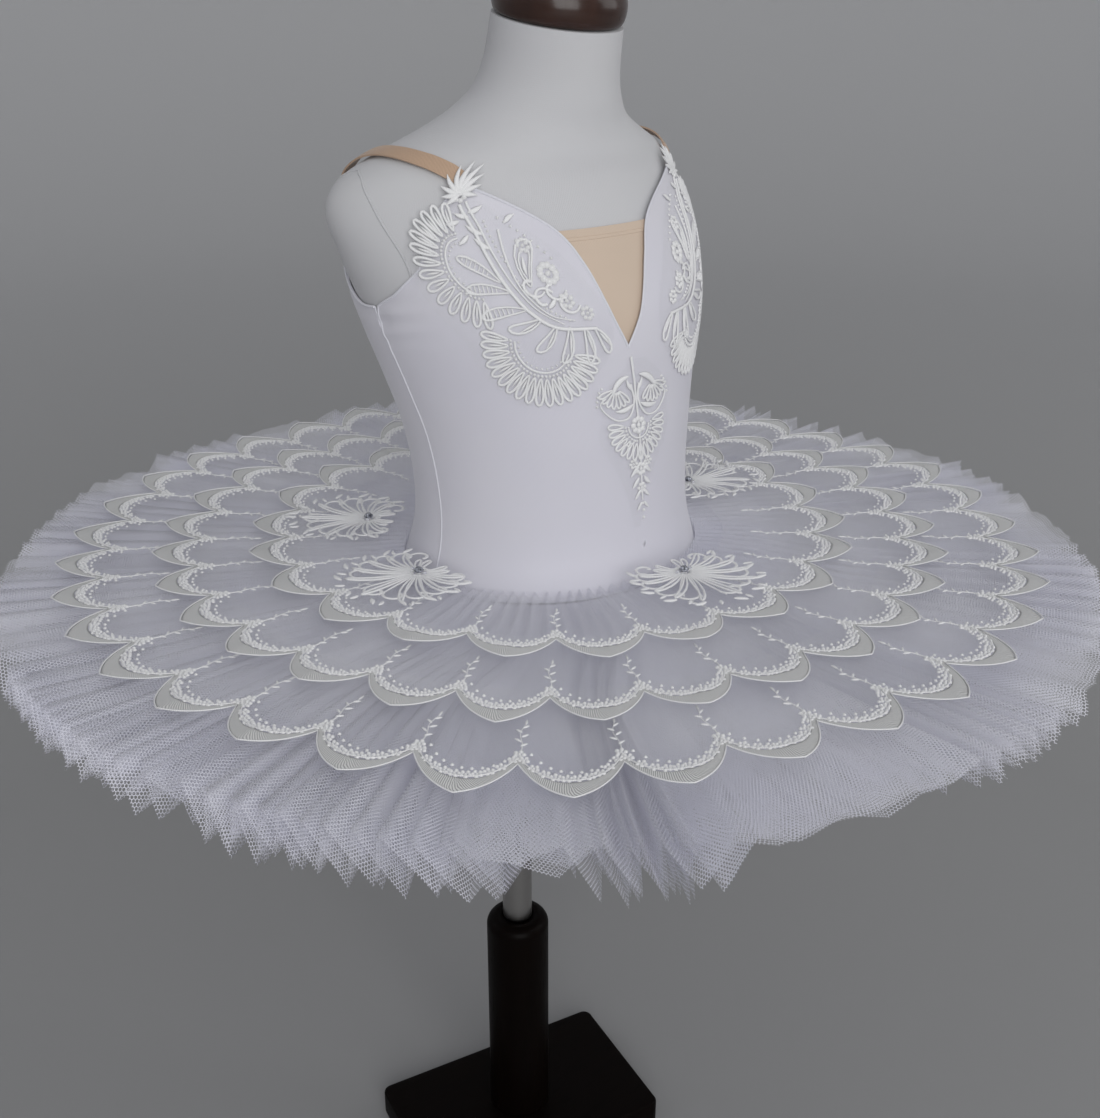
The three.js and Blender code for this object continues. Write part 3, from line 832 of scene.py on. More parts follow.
@dataclass(frozen=True)
class LaidThread(Finish):
    """Shiny embroidery thread, laid side by side.

    Args:
        gap: Colour painted between the threads, as the shade in the grooves.
        pitch: Breadth of a thread, in metres.
        sheen: Weight of its sheen.
        openness: How far what is behind shows between the threads, from 0 to 1.
    """

    gap: Color = (0.5, 0.5, 0.52)
    pitch: float = 0.0009
    sheen: float = 0.3
    openness: float = 0.0

    def dress(self, tree: Tree, shader: bpy.types.Node, effects: EffectLibrary) -> None:
        """Thread relief, with painted shade in the grooves between the threads."""
        shader.inputs["Sheen Weight"].default_value = self.sheen
        shader.inputs["Sheen Roughness"].default_value = 0.3
        thread = effects.use(tree, Effect.THREAD, Vector=tree.cloth(), Pitch=self.pitch)
        # Painted shade: the low grooves between the threads take the darker gap colour.
        tree.feed(shader.inputs["Base Color"], tree.blend(thread.outputs["Shade"], self.gap, self.color))
        if self.openness:
            alpha = tree.remap(thread.outputs["Shade"], 0.15, 0.85, 1 - self.openness, 1.0)
            tree.feed(shader.inputs["Alpha"], alpha)
        rough = tree.math("MULTIPLY_ADD", thread.outputs["Shade"], -0.12, self.roughness + 0.1)
        tree.feed(shader.inputs["Roughness"], rough)
        tree.feed(shader.inputs["Normal"], tree.bump(thread.outputs["Height"], 0.5, 0.0002))


@dataclass(frozen=True)
class PolishedWood(Finish):
    """Dark stained and lacquered wood.

    Args:
        stretch: Scale of the grain along each axis: the grain runs along the smallest.
        glow: Colour of the lighter streaks.
        gloss: Weight of the lacquer.
    """

    stretch: tuple[float, float, float] = (9.0, 9.0, 1.0)
    glow: Color = (0.035, 0.014, 0.008)
    gloss: float = 0.02

    def dress(self, tree: Tree, shader: bpy.types.Node, effects: EffectLibrary) -> None:
        """Streaks, pores and a coat of lacquer."""
        shader.inputs["Specular IOR Level"].default_value = 0.04 + 0.45 * self.gloss
        shader.inputs["Coat Weight"].default_value = self.gloss
        shader.inputs["Coat Roughness"].default_value = 0.16
        grain = effects.use(tree, Effect.GRAIN, Vector=tree.place(), Stretch=self.stretch)
        tree.feed(shader.inputs["Base Color"], tree.blend(grain.outputs["Streak"], self.color, self.glow))
        rough = tree.math("MULTIPLY_ADD", grain.outputs["Pore"], 0.15, self.roughness)
        tree.feed(shader.inputs["Roughness"], rough)
        tree.feed(shader.inputs["Normal"], tree.bump(grain.outputs["Pore"], -0.15, 0.0003))


@dataclass(frozen=True)
class BrushedSteel(Finish):
    """Bright drawn steel with fine scratches round it."""

    def dress(self, tree: Tree, shader: bpy.types.Node, effects: EffectLibrary) -> None:
        """Fine rings of roughness."""
        shader.inputs["Metallic"].default_value = 1.0
        grain = effects.use(tree, Effect.GRAIN, Vector=tree.place(), Stretch=(1.0, 1.0, 30.0))
        rough = tree.math("MULTIPLY_ADD", grain.outputs["Streak"], 0.18, self.roughness)
        tree.feed(shader.inputs["Roughness"], rough)
        tree.feed(shader.inputs["Normal"], tree.bump(grain.outputs["Streak"], 0.08, 0.0002))


@dataclass(frozen=True)
class CutCrystal(Finish):
    """A dark foiled stone with bright facets."""

    def dress(self, tree: Tree, shader: bpy.types.Node, effects: EffectLibrary) -> None:
        """A clear coat over cloudy foil."""
        shader.inputs["Coat Weight"].default_value = 1.0
        shader.inputs["Coat Roughness"].default_value = 0.03
        shader.inputs["Metallic"].default_value = 0.6
        cloud = effects.use(tree, Effect.CLOUD, Vector=tree.place(), Scale=900.0)
        tree.feed(shader.inputs["Base Color"],
                  tree.blend(cloud.outputs["Value"], self.color, (0.6, 0.62, 0.7)))


class Finishes:
    """Every material of the tutu, the form and the stand, made once."""

    def __init__(self) -> None:
        """Build them all."""
        effects = EffectLibrary()
        self.form = StretchCloth("form jersey", (0.61, 0.61, 0.62), 0.75,
                                 shade=(0.57, 0.57, 0.6), sheen=0.1, pitch=0.0009).make(effects)
        self.bodice = StretchCloth("bodice spandex", (0.72, 0.71, 0.76), 0.45,
                                   shade=(0.66, 0.65, 0.73), sheen=0.3).make(effects)
        self.nude = StretchCloth("nude stretch net", (0.66, 0.53, 0.42), 0.6,
                                 shade=(0.61, 0.49, 0.385), sheen=0.15, pitch=0.0008).make(effects)
        self.strap = LaidThread("strap elastic", (0.6, 0.42, 0.29), 0.45,
                                gap=(0.42, 0.28, 0.19), pitch=0.0012).make(effects)
        self.net = NetCloth("skirt net", (0.74, 0.74, 0.8), 0.65, cell=0.0019, thread=0.19,
                            tint=(0.68, 0.68, 0.76)).make(effects)
        self.ground = NetCloth("lace ground", (0.8, 0.8, 0.82), 0.6, cell=0.0015,
                               thread=0.1, tint=(0.7, 0.7, 0.74)).make(effects)
        self.cord = LaidThread("lace cord", (0.95, 0.95, 0.94), 0.35,
                               gap=(0.78, 0.78, 0.8)).make(effects)
        self.satin = LaidThread("lace border", (0.74, 0.74, 0.72), 0.5, gap=(0.66, 0.66, 0.66),
                                pitch=0.0011, openness=0.5).make(effects)
        self.piping = LaidThread("bodice piping", (0.86, 0.86, 0.9), 0.5,
                                 gap=(0.62, 0.62, 0.7), pitch=0.0007).make(effects)
        self.cap = PolishedWood("dark lacquered wood", (0.018, 0.008, 0.006), 0.3, gloss=0.5,
                                glow=(0.05, 0.02, 0.012)).make(effects)
        self.wood = PolishedWood("dark column wood", (0.0016, 0.001, 0.0008), 0.45,
                                 glow=(0.004, 0.002, 0.0014)).make(effects)
        self.plate = PolishedWood("dark plate wood", (0.0016, 0.001, 0.0008), 0.5,
                                  stretch=(1.0, 9.0, 9.0), glow=(0.004, 0.002, 0.0014)).make(effects)
        self.steel = BrushedSteel("brushed steel", (0.4, 0.39, 0.38), 0.24).make(effects)
        self.stone = CutCrystal("dark crystal", (0.03, 0.035, 0.045), 0.12).make(effects)
        self.bright = CutCrystal("bright crystal", (0.8, 0.8, 0.82), 0.08).make(effects)


# ---- The dress form and its stand ----------------------------------------------------------------


@dataclass
class DressForm:
    """The padded form, with the seams of its jersey cover.

    Args:
        surface: The working surface.
        finishes: The materials.
        columns: Points round the body.
        seam_radius: Radius of a raised seam, in millimetres.
    """

    surface: TorsoForm
    finishes: Finishes
    columns: int = 144
    seam_radius: float = 0.5

    def build(self) -> list[bpy.types.Object]:
        """Make the body of the form and its cover's seams.

        Returns:
            The pieces.
        """
        low = TORSO_SECTIONS.rows[0][0]
        high = TORSO_SECTIONS.rows[-1][0]
        heights = np.linspace(low, high, 200)
        angles = np.linspace(-180, 180, self.columns + 1)
        grid_angle, grid_height = np.meshgrid(angles, heights)
        points = self.surface.point(grid_angle, grid_height, 0.0)
        uvs = np.stack([grid_angle * 1.7 * MM, grid_height * MM], axis=-1)
        pot = MeshPot()
        pot.grid(points[:, :-1], uvs, closed=True)
        pot._cap(points[0, :-1], True, 0)
        pot._cap(points[-1, :-1], False, 0)
        body = settle(pot.piece("torso_cover", [self.finishes.form]), ["form_torso"])
        return [body, self._seams()]

    def _seams(self) -> bpy.types.Object:
        """The armhole seams of the cover, each a raised ridge round the shoulder cap."""
        pot = MeshPot()
        for side in (-1, 1):
            route = curve_through(
                [(92, 236), (79, 231), (68, 218), (64, 195), (68, 172), (80, 158), (95, 152),
                 (110, 160), (120, 180), (120, 205), (112, 226), (100, 235)], 90)
            angle, height = side * route[:, 0], route[:, 1]
            path = self.surface.point(angle, height, 0.15)
            normal = self.surface.normal(angle, height)
            radius = np.full(len(path), self.seam_radius * MM)
            pot.tube(path, normal, radius * 1.4, radius * 0.7, closed=True)
        return settle(pot.piece("torso_cover_seams", [self.finishes.form]), [])


@dataclass
class Stand:
    """The turned neck cap, the pole, the wooden column and the plate.

    Args:
        surface: The working surface.
        finishes: The materials.
        sides: Points round each turned piece.
    """

    surface: TorsoForm
    finishes: Finishes
    sides: int = 72
    set_back: float = 37.0
    pole_radius: float = 11.0
    column_radius: float = 23.5
    column_edge: float = 8.0
    plate_length: float = 194.0
    plate_width: float = 120.0
    plate_corner: float = 7.0
    plate_edge: float = 2.0
    plate_turn: float = -14.0

    def build(self) -> list[bpy.types.Object]:
        """Make the four pieces.

        Returns:
            The pieces.
        """
        return [self._neck_cap(), self._pole(), self._column(), self._plate()]

    def _turned(self, name: str, profile: Sequence[tuple[float, float]], foot: np.ndarray,
                tilt: float, material: bpy.types.Material) -> bpy.types.Object:
        """A piece turned on a lathe.

        Args:
            name: The piece's name.
            profile: Radius and height of each step, in millimetres, from the foot up.
            foot: Where its axis starts, in metres.
            tilt: How far it leans forward, in degrees.
            material: Its finish.

        Returns:
            The piece.
        """
        steps = np.array(profile) * MM
        turn = np.arange(self.sides) * 2 * np.pi / self.sides
        radius, height = steps[:, 0, None], steps[:, 1, None] * np.ones(self.sides)
        x, y = radius * np.sin(turn), -radius * np.cos(turn)
        lean = math.radians(tilt)
        points = np.stack(
            [x, y * math.cos(lean) - height * math.sin(lean),
             y * math.sin(lean) + height * math.cos(lean)], axis=-1) + foot
        run = np.concatenate([[0], np.cumsum(np.linalg.norm(np.diff(steps, axis=0), axis=1))])
        around = np.linspace(0, 2 * np.pi, self.sides + 1) * 0.02
        uvs = np.stack(np.broadcast_arrays(around[None], run[:, None]), axis=-1)
        pot = MeshPot()
        pot.grid(points, uvs, closed=True)
        pot._cap(points[0], True, 0)
        pot._cap(points[-1], False, 0)
        return pot.piece(name, [material])

    def _neck_cap(self) -> bpy.types.Object:
        """The turned cap: a bead, a cove and a low dome."""
        neck = TORSO_SECTIONS.rows[-1]
        tilt = neck[5]
        profile = [(2.0, 0.0), (33.0, 0.0), (33.4, 0.2)]
        for turn in np.radians(np.linspace(-60, 60, 16)):
            profile.append((33.5 + 4.0 * math.cos(turn), 9.0 + 9.0 * math.sin(turn)))
        profile += [(33.0, 17.6), (30.0, 18.6), (28.4, 20.0), (28.0, 22.0), (28.0, 25.0)]
        for turn in np.radians(np.linspace(6, 86, 16)):
            profile.append((28.0 * math.cos(turn), 26.0 + 20.0 * math.sin(turn)))
        foot = self.surface.world(np.array([0.0, neck[3] - 0.3 * math.sin(math.radians(tilt)),
                                            neck[0] + 0.3 * math.cos(math.radians(tilt))]))
        cap = self._turned("neck_cap_turned", profile, foot, tilt, self.finishes.cap)
        return settle(cap, ["neck_cap"])

    def _pole(self) -> bpy.types.Object:
        """The steel tube with its edges eased."""
        low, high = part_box("pole")
        length = (high.z - low.z) / MM
        radius = self.pole_radius
        profile = [(radius - 0.6, 0.0), (radius, 0.6)]
        profile += [(radius, step) for step in np.linspace(2, length - 2, 12)]
        profile += [(radius, length - 0.6), (radius - 0.6, length)]
        foot = np.array([0.0, (low.y + high.y) / 2, low.z])
        pole = self._turned("pole_tube", profile, foot, 0.0, self.finishes.steel)
        return settle(pole, ["pole"])

    def _column(self) -> bpy.types.Object:
        """The round wooden column with its rounded shoulder."""
        low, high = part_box("column")
        length = (high.z - low.z) / MM
        radius, edge = self.column_radius, self.column_edge
        profile = [(radius - 0.8, 0.0), (radius, 0.8)]
        profile += [(radius, step) for step in np.linspace(4, length - edge - 2, 10)]
        for turn in np.radians(np.linspace(0, 88, 12)):
            profile.append((radius - edge + edge * math.cos(turn), length - edge + edge * math.sin(turn)))
        profile += [(self.pole_radius + 1.6, length - 0.1), (self.pole_radius + 0.6, length - 0.8),
                    (self.pole_radius + 0.3, length - 3.0)]
        foot = np.array([0.0, (low.y + high.y) / 2, low.z])
        column = self._turned("column_turned", profile, foot, 0.0, self.finishes.wood)
        return settle(column, ["column"])

    def _plate(self) -> bpy.types.Object:
        """The plate: a rounded rectangle with eased edges, turned as it stands."""
        low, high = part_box("base_plate")
        thickness = (high.z - low.z) / MM
        edge = self.plate_edge
        insets = [(edge + 6, 0.0), (edge, 0.0), (0.9, 0.25), (0.25, 0.9), (0.0, edge)]
        rings = insets + [(i, thickness - h) for i, h in reversed(insets)]
        lean = math.radians(self.plate_turn)
        pot = MeshPot()
        rows = []
        for inset, height in rings:
            ring = self._outline(inset)
            x = ring[:, 0] * math.cos(lean) - ring[:, 1] * math.sin(lean)
            y = ring[:, 0] * math.sin(lean) + ring[:, 1] * math.cos(lean)
            rows.append(np.stack([x, y + self.set_back, np.full(len(x), height)], axis=1) * MM)
        points = np.array(rows) + np.array([0.0, 0.0, low.z])
        around = np.linspace(0, 0.6, points.shape[1] + 1)
        uvs = np.stack(np.broadcast_arrays(around[None], np.arange(len(rings))[:, None] * MM), axis=-1)
        pot.grid(points, uvs, closed=True)
        pot._cap(points[0], True, 0)
        pot._cap(points[-1], False, 0)
        return settle(pot.piece("base_plate_board", [self.finishes.plate]), ["base_plate"])

    def _outline(self, inset: float) -> np.ndarray:
        """The plate's outline, drawn in by an inset, anticlockwise."""
        corner = max(self.plate_corner - inset, 0.5)
        x = self.plate_length / 2 - inset - corner
        y = self.plate_width / 2 - inset - corner
        ring = []
        for start, (cx, cy) in zip((-90, 0, 90, 180), ((x, -y), (x, y), (-x, y), (-x, -y))):
            for turn in np.radians(np.linspace(start, start + 90, 9)):
                ring.append((cx + corner * math.cos(turn), cy + corner * math.sin(turn)))
        return np.array(ring)


# ---- Lace drawn with cords, leaves and beads ------------------------------------------------------


Bed = Callable[[np.ndarray, float], tuple[np.ndarray, np.ndarray]]


@dataclass
class Stroke:
    """One cord of a lace motif, in the motif's own plane in millimetres."""

    path: np.ndarray
    half_width: np.ndarray
    height: float
    closed: bool = False
    sides: int = 6


@dataclass
class Lacework:
    """A lace motif: cords, looped petals, filled leaves and beads, before it is laid on a surface."""

    strokes: list[Stroke] = field(default_factory=list)
    beads: list[tuple[float, float, float]] = field(default_factory=list)

    def cord(self, knots: Sequence[Sequence[float]], width: float, count: int = 20,
             taper: float = 0.45, height: float = 0.7) -> np.ndarray:
        """A cord along a smooth curve that thins towards its end.

        Args:
            knots: Places that the cord passes through.
            width: Its breadth.
            count: Points along it.
            taper: Breadth at its end as a share of that at its start.
            height: How far it stands up.

        Returns:
            The points that it follows.
        """
        path = curve_through(knots, count)
        half = np.linspace(1.0, taper, count) * width / 2
        self.strokes.append(Stroke(path, half, height))
        return path

    def petal(self, base: Sequence[float], heading: float, length: float, breadth: float,
              width: float = 1.0, bend: float = 0.0, height: float = 0.7) -> None:
        """A looped petal: a cord that leaves its base, turns at the tip and comes back.

        Args:
            base: Where it starts.
            heading: Its direction in degrees, anticlockwise from +u.
            length: From base to tip.
            breadth: Widest distance between its two sides.
            width: Breadth of the cord.
            bend: How far the tip is turned aside, in degrees.
            height: How far the cord stands up.
        """
        share = np.linspace(0, 2 * np.pi, 15)[:-1]
        along = (1 - np.cos(share)) / 2
        side = np.sin(share) * (0.35 + 0.65 * along)
        turn = math.radians(heading) + np.radians(bend) * along**1.3
        u = base[0] + along * length * np.cos(turn) - side * breadth / 2 * np.sin(turn)
        v = base[1] + along * length * np.sin(turn) + side * breadth / 2 * np.cos(turn)
        path = np.stack([u, v], axis=1)
        half = np.full(len(path), width / 2) * (0.75 + 0.25 * along)
        self.strokes.append(Stroke(path, half, height, closed=True))

    def leaf(self, base: Sequence[float], heading: float, length: float, breadth: float,
             bend: float = 0.0, height: float = 0.9, count: int = 9) -> None:
        """A leaf filled with satin thread, pointed at both ends."""
        share = np.linspace(0, 1, count)
        turn = math.radians(heading) + np.radians(bend) * share
        steps = np.stack([np.cos(turn), np.sin(turn)], axis=1) * length / (count - 1)
        path = np.array(base, float) + np.concatenate([[[0, 0]], np.cumsum(steps[:-1], axis=0)])
        half = breadth / 2 * np.sin(np.pi * (0.04 + 0.92 * share) ** 0.85)
        self.strokes.append(Stroke(path, np.maximum(half, 0.12), height, sides=6))

    def bead_row(self, knots: Sequence[Sequence[float]], pitch: float, radius: float) -> None:
        """Beads at even steps along a smooth curve."""
        fine = curve_through(knots, 60)
        length = np.linalg.norm(np.diff(fine, axis=0), axis=1).sum()
        for u, v in curve_through(knots, max(int(length / pitch), 2)):
            self.beads.append((u, v, radius))

    def ring_flower(self, centre: Sequence[float], radius: float, petals: int,
                    turn: float = 0.0) -> None:
        """A small flower of round petals about a middle bead."""
        for step in range(petals):
            angle = math.radians(turn + 360 * step / petals)
            self.beads.append((centre[0] + radius * math.cos(angle),
                               centre[1] + radius * math.sin(angle), radius * 0.52))
        self.beads.append((centre[0], centre[1], radius * 0.4))

    def fan(self, centre: Sequence[float], start: float, end: float, count: int, inner: float,
            outer: float, breadth: float, width: float = 1.0, swell: float = 0.0) -> None:
        """Looped petals side by side on an arc.

        Args:
            centre: Middle of the arc.
            start: Direction of the first petal, in degrees.
            end: Direction of the last petal.
            count: How many petals.
            inner: Distance of their bases from the centre.
            outer: Distance of their tips.
            breadth: Breadth of a petal.
            width: Breadth of the cord.
            swell: How much longer the middle petals are, as a share.
        """
        for step in range(count):
            share = step / max(count - 1, 1)
            heading = start + (end - start) * share
            turn = math.radians(heading)
            reach = (outer - inner) * (1 + swell * math.sin(math.pi * share))
            base = (centre[0] + inner * math.cos(turn), centre[1] + inner * math.sin(turn))
            self.petal(base, heading, reach, breadth, width)

    def curl(self, base: Sequence[float], heading: float, size: float, sense: int,
             width: float = 1.0) -> None:
        """A cord that runs out and curls in on itself."""
        share = np.linspace(0, 1, 18)
        turn = math.radians(heading) + sense * share * 1.55 * np.pi
        step = size * (1.0 - 0.72 * share) * 0.19
        path = np.array(base, float) + np.cumsum(
            np.stack([np.cos(turn), np.sin(turn)], axis=1) * step[:, None], axis=0)
        self.strokes.append(Stroke(path, np.linspace(width / 2, width * 0.75, 18), 0.7))

    def moved(self, shift: Sequence[float], turn: float = 0.0, mirror: bool = False,
              scale: float = 1.0) -> "Lacework":
        """The same motif mirrored, scaled, turned and shifted, in that order."""
        angle = math.radians(turn)
        spin = np.array([[math.cos(angle), math.sin(angle)], [-math.sin(angle), math.cos(angle)]])
        flip = np.array([-1.0 if mirror else 1.0, 1.0]) * scale
        move = lambda path: (np.asarray(path, float) * flip) @ spin + np.array(shift, float)
        strokes = [Stroke(move(s.path), s.half_width * scale, s.height, s.closed, s.sides)
                   for s in self.strokes]
        beads = [(*move((u, v)), r * scale) for u, v, r in self.beads]
        return Lacework(strokes, beads)

    def join(self, other: "Lacework") -> None:
        """Take in another motif."""
        self.strokes += other.strokes
        self.beads += other.beads

    def lay(self, pot: MeshPot, bed: Bed, ink: int = 0) -> None:
        """Lay the motif on a surface.

        Args:
            pot: Takes the cords.
            bed: Gives the points and normals for places in the motif's plane.
            ink: Number of the material slot.
        """
        for stroke in self.strokes:
            points, normals = bed(stroke.path, stroke.height * 0.35)
            half_height = np.minimum(stroke.half_width * 1.1, stroke.height / 2 + 0.1) * MM
            pot.tube(points, normals, stroke.half_width * MM, half_height, stroke.sides,
                     stroke.closed, ink)
        if self.beads:
            table = np.array(self.beads)
            points, normals = bed(table[:, :2], 0.0)
            for point, normal, radius in zip(points, normals, table[:, 2]):
                pot.dome(point, normal, radius * MM, min(radius, 1.1) * MM, sides=6, ink=ink)


# ---- The bodice -----------------------------------------------------------------------------------


@dataclass
class Bodice:
    """Stretch bodice, V insert, straps and brief, each a thin cloth wall over the form.

    Args:
        surface: The working surface.
        finishes: The materials.
        inner: Distance of a panel's inner face from the skin, in millimetres.
        outer: Distance of its outer face.
    """

    surface: TorsoForm
    finishes: Finishes
    inner: float = 2.3
    outer: float = 3.4
    bottom: float = -2.0
    side_seam: float = 88.0
    v_point: float = 143.0
    strap_width: float = 9.0

    def build(self) -> list[bpy.types.Object]:
        """Make the panels, the insert, the straps and the brief.

        Returns:
            The pieces.
        """
        pieces = [self._front(), self._back(), self._insert()]
        pieces += [self._strap("right", -1), self._strap("left", 1)]
        pieces += [self._brief("front", 0), self._brief("back", 180)]
        return pieces

    def _wall(self, pot: MeshPot, angle: np.ndarray, height: np.ndarray, inner: np.ndarray | float,
              outer: np.ndarray | float, first: bool = True, last: bool = True) -> None:
        """Take in a closed wall over the skin.

        Args:
            pot: Takes the wall.
            angle: (rows, columns) angles, rising along a row.
            height: (rows, columns) heights, rising from row to row.
            inner: Distance of the inner face.
            outer: Distance of the outer face.
            first: Whether the first row's edge is closed.
            last: Whether the last row's edge is closed.
        """
        outside = self.surface.point(angle, height, outer)
        inside = self.surface.point(angle, height, inner)
        uvs = np.stack([angle * 1.7, height], axis=-1) * MM
        ring = np.concatenate([outside, inside[:, ::-1]], axis=1)
        ring_uvs = np.concatenate([uvs, uvs[:, ::-1], uvs[:, :1]], axis=1)
        pot.grid(ring, ring_uvs, closed=True)
        for row, wanted, flip in ((0, first, True), (-1, last, False)):
            if wanted:
                pot.grid(np.stack([outside[row], inside[row]]), np.stack([uvs[row]] * 2), flip=flip)

    def _piece(self, pot: MeshPot, name: str, material: bpy.types.Material) -> bpy.types.Object:
        """Weld a wall's edges and keep its corners crisp."""
        piece = pot.piece(name, [material, self.finishes.piping])
        weld(piece)
        piece.data.set_sharp_from_angle(angle=math.radians(50))
        return piece

    def _gather(self, angle: np.ndarray, height: np.ndarray) -> np.ndarray:
        """Small folds of the stretched cloth under the arm, in millimetres outward."""
        reach = ease(np.abs(angle), 58, 84) * ease(height, 128, 166)
        ripple = np.sin(height * 0.62 + np.abs(angle) * 0.16)
        return 0.55 * reach * ripple

    def _front(self) -> bpy.types.Object:
        """The front panel: whole below the V, and two halves above it."""
        pot = MeshPot()
        rise = np.linspace(self.bottom, self.v_point, 44)[:, None]
        share = np.linspace(0, 1, 57)[None]
        rows = np.linspace(self.v_point, FRONT_EDGES.rows[-1][0], 44)[:, None]
        for side in (-1, 1):
            for heights, is_upper in ((rise, False), (rows, True)):
                inside, outside = self._limits(heights, side)
                angle = inside + (outside - inside) * share
                height = heights * np.ones_like(angle)
                angle, height = angle[:, ::side], height[:, ::side]
                inner, outer = self._faces(angle, height)
                self._wall(pot, angle, height, inner, outer, first=not is_upper, last=is_upper)
            inside, outside = self._limits(rows, side)
            self._pipe(pot, inside[:, 0], rows[:, 0], 0.8)
            self._pipe(pot, outside[:, 0], rows[:, 0], 0.6)
            seam = np.linspace(self.bottom, 166, 60)
            self._pipe(pot, np.full(60, side * self.side_seam), seam, 0.6)
        front = settle(self._piece(pot, "bodice_front_panel", self.finishes.bodice),
                       ["bodice_front"])
        return front

    def _limits(self, height: np.ndarray, side: int) -> tuple[np.ndarray, np.ndarray]:
        """Angles of the centre line or neckline, and of the side seam or armhole."""
        neckline = np.where(height > self.v_point, FRONT_EDGES.smooth(height, 1), 0.0)
        armhole = FRONT_EDGES.straight(height, 2)
        return side * neckline + self.surface.drift(height), side * armhole

    def _faces(self, angle: np.ndarray, height: np.ndarray) -> tuple[np.ndarray, np.ndarray]:
        """Distances of the panel's two faces, which close on the skin at the armhole."""
        armhole = FRONT_EDGES.straight(height, 2)
        close = ease(height, 150, 166) * ease(np.abs(angle) - armhole, -9, 0)
        fold = self._gather(angle, height) - 1.7 * close
        return self.inner + fold, self.outer + fold

    def _pipe(self, pot: MeshPot, angle: np.ndarray, height: np.ndarray, radius: float) -> None:
        """Take in a piped edge along a line of places."""
        outer = self._faces(angle, height)[1]
        path = self.surface.point(angle, height, outer)
        normal = self.surface.normal(angle, height)
        half = np.full(len(path), radius * MM)
        pot.tube(path, normal, half, half * 0.8, 8, ink=1)

    def _back(self) -> bpy.types.Object:
        """The back panel, from side seam to side seam."""
        pot = MeshPot()
        start = self.side_seam + 0.4
        angles = np.linspace(start, 360 - start, 113)
        top = BACK_EDGE.smooth(np.where(angles > 180, 360 - angles, angles), 1)
        rise = np.linspace(0, 1, 60)[:, None]
        height = self.bottom + (top[None] - self.bottom) * rise
        angle = angles[None] * np.ones_like(height)
        close = 1.7 * ease(height - top[None], -10, 0)
        self._wall(pot, angle, height, self.inner - close, self.outer - close)
        path = self.surface.point(angles, top, self.outer - 1.7)
        half = np.full(len(path), 0.8 * MM)
        pot.tube(path, self.surface.normal(angles, top), half, half * 0.8, 8, ink=1)
        back = settle(self._piece(pot, "bodice_back_panel", self.finishes.bodice),
                      ["bodice_back"])
        return back

    def _insert(self) -> bpy.types.Object:
        """The nude insert behind the V, with a turned and stitched top hem."""
        pot = MeshPot()
        rows = np.linspace(136, 205, 40)
        reach = FRONT_EDGES.straight(rows, 1)[:, None] + 4
        angle = reach * np.linspace(-1, 1, 33)[None]
        height = rows[:, None] * np.ones_like(angle)
        angle = angle + self.surface.drift(height)
        hem = 0.5 * ease(height, 198.2, 199.2)
        self._wall(pot, angle, height, 0.5, 1.3 + hem)
        stitch = np.linspace(-15, 15, 50) + self.surface.drift(np.full(50, 200.0))
        for low in (199.6, 201.2):
            path = self.surface.point(stitch, np.full(50, low), 1.8)
            half = np.full(50, 0.22 * MM)
            pot.tube(path, self.surface.normal(stitch, np.full(50, low)), half, half, 6)
        insert = settle(self._piece(pot, "v_insert_net", self.finishes.nude),
                        ["v_insert"])
        return insert

    def _strap(self, name: str, side: int) -> bpy.types.Object:
        """A flat elastic strap over the shoulder."""
        route = curve_through(STRAP_ROUTE, 80)
        angle, height = side * route[:, 0], route[:, 1]
        middle = self.surface.point(angle, height, 0.0)
        normal = self.surface.normal(angle, height)
        ahead = unit(np.gradient(middle, axis=0))
        sideways = unit(np.cross(normal, ahead))
        across = np.linspace(-1, 1, 9)
        crown = 0.25 * (1 - across**2)
        spread = sideways[:, None] * (across[None, :, None] * self.strap_width / 2 * MM)
        outside = middle[:, None] + spread + normal[:, None] * ((3.0 + crown)[None, :, None] * MM)
        inside = middle[:, None] + spread + normal[:, None] * (2.1 * MM)
        run = np.linspace(0, 0.21, len(middle))
        uvs = np.stack(np.broadcast_arrays(run[:, None], across[None] * 0.0045), axis=-1)
        ring = np.concatenate([outside, inside[:, ::-1]], axis=1)
        ring_uvs = np.concatenate([uvs, uvs[:, ::-1], uvs[:, :1]], axis=1)
        pot = MeshPot()
        pot.grid(ring, ring_uvs, closed=True, flip=True)
        pot.grid(np.stack([outside[0], inside[0]]), np.stack([uvs[0]] * 2))
        pot.grid(np.stack([outside[-1], inside[-1]]), np.stack([uvs[-1]] * 2), flip=True)
        strap = settle(self._piece(pot, f"strap_{name}_elastic", self.finishes.strap),
                       [f"strap_{name}"])
        return strap

    def _brief(self, name: str, middle: float) -> bpy.types.Object:
        """Half of the brief, from the waist to the leg opening and the gusset."""
        pot = MeshPot()
        reach = self.side_seam if middle == 0 else 180 - self.side_seam - 0.4
        turn = np.linspace(-reach, reach, 81)
        low = LEG_EDGE.smooth(np.abs(turn), 1)
        rise = np.linspace(0, 1, 48)[:, None]
        height = low[None] + (-3.2 - low[None]) * rise
        angle = (middle + turn)[None] * np.ones_like(height)
        self._wall(pot, angle, height, self.inner, self.outer)
        self._pipe(pot, middle + turn, low, 0.7)
        brief = settle(self._piece(pot, f"brief_{name}_panel", self.finishes.bodice),
                       [f"brief_{name}"])
        return brief


def sheet_area(piece: bpy.types.Object) -> float:
    """Area of a piece's faces, in square metres."""
    area = np.zeros(len(piece.data.polygons))
    piece.data.polygons.foreach_get("area", area)
    return float(area.sum())


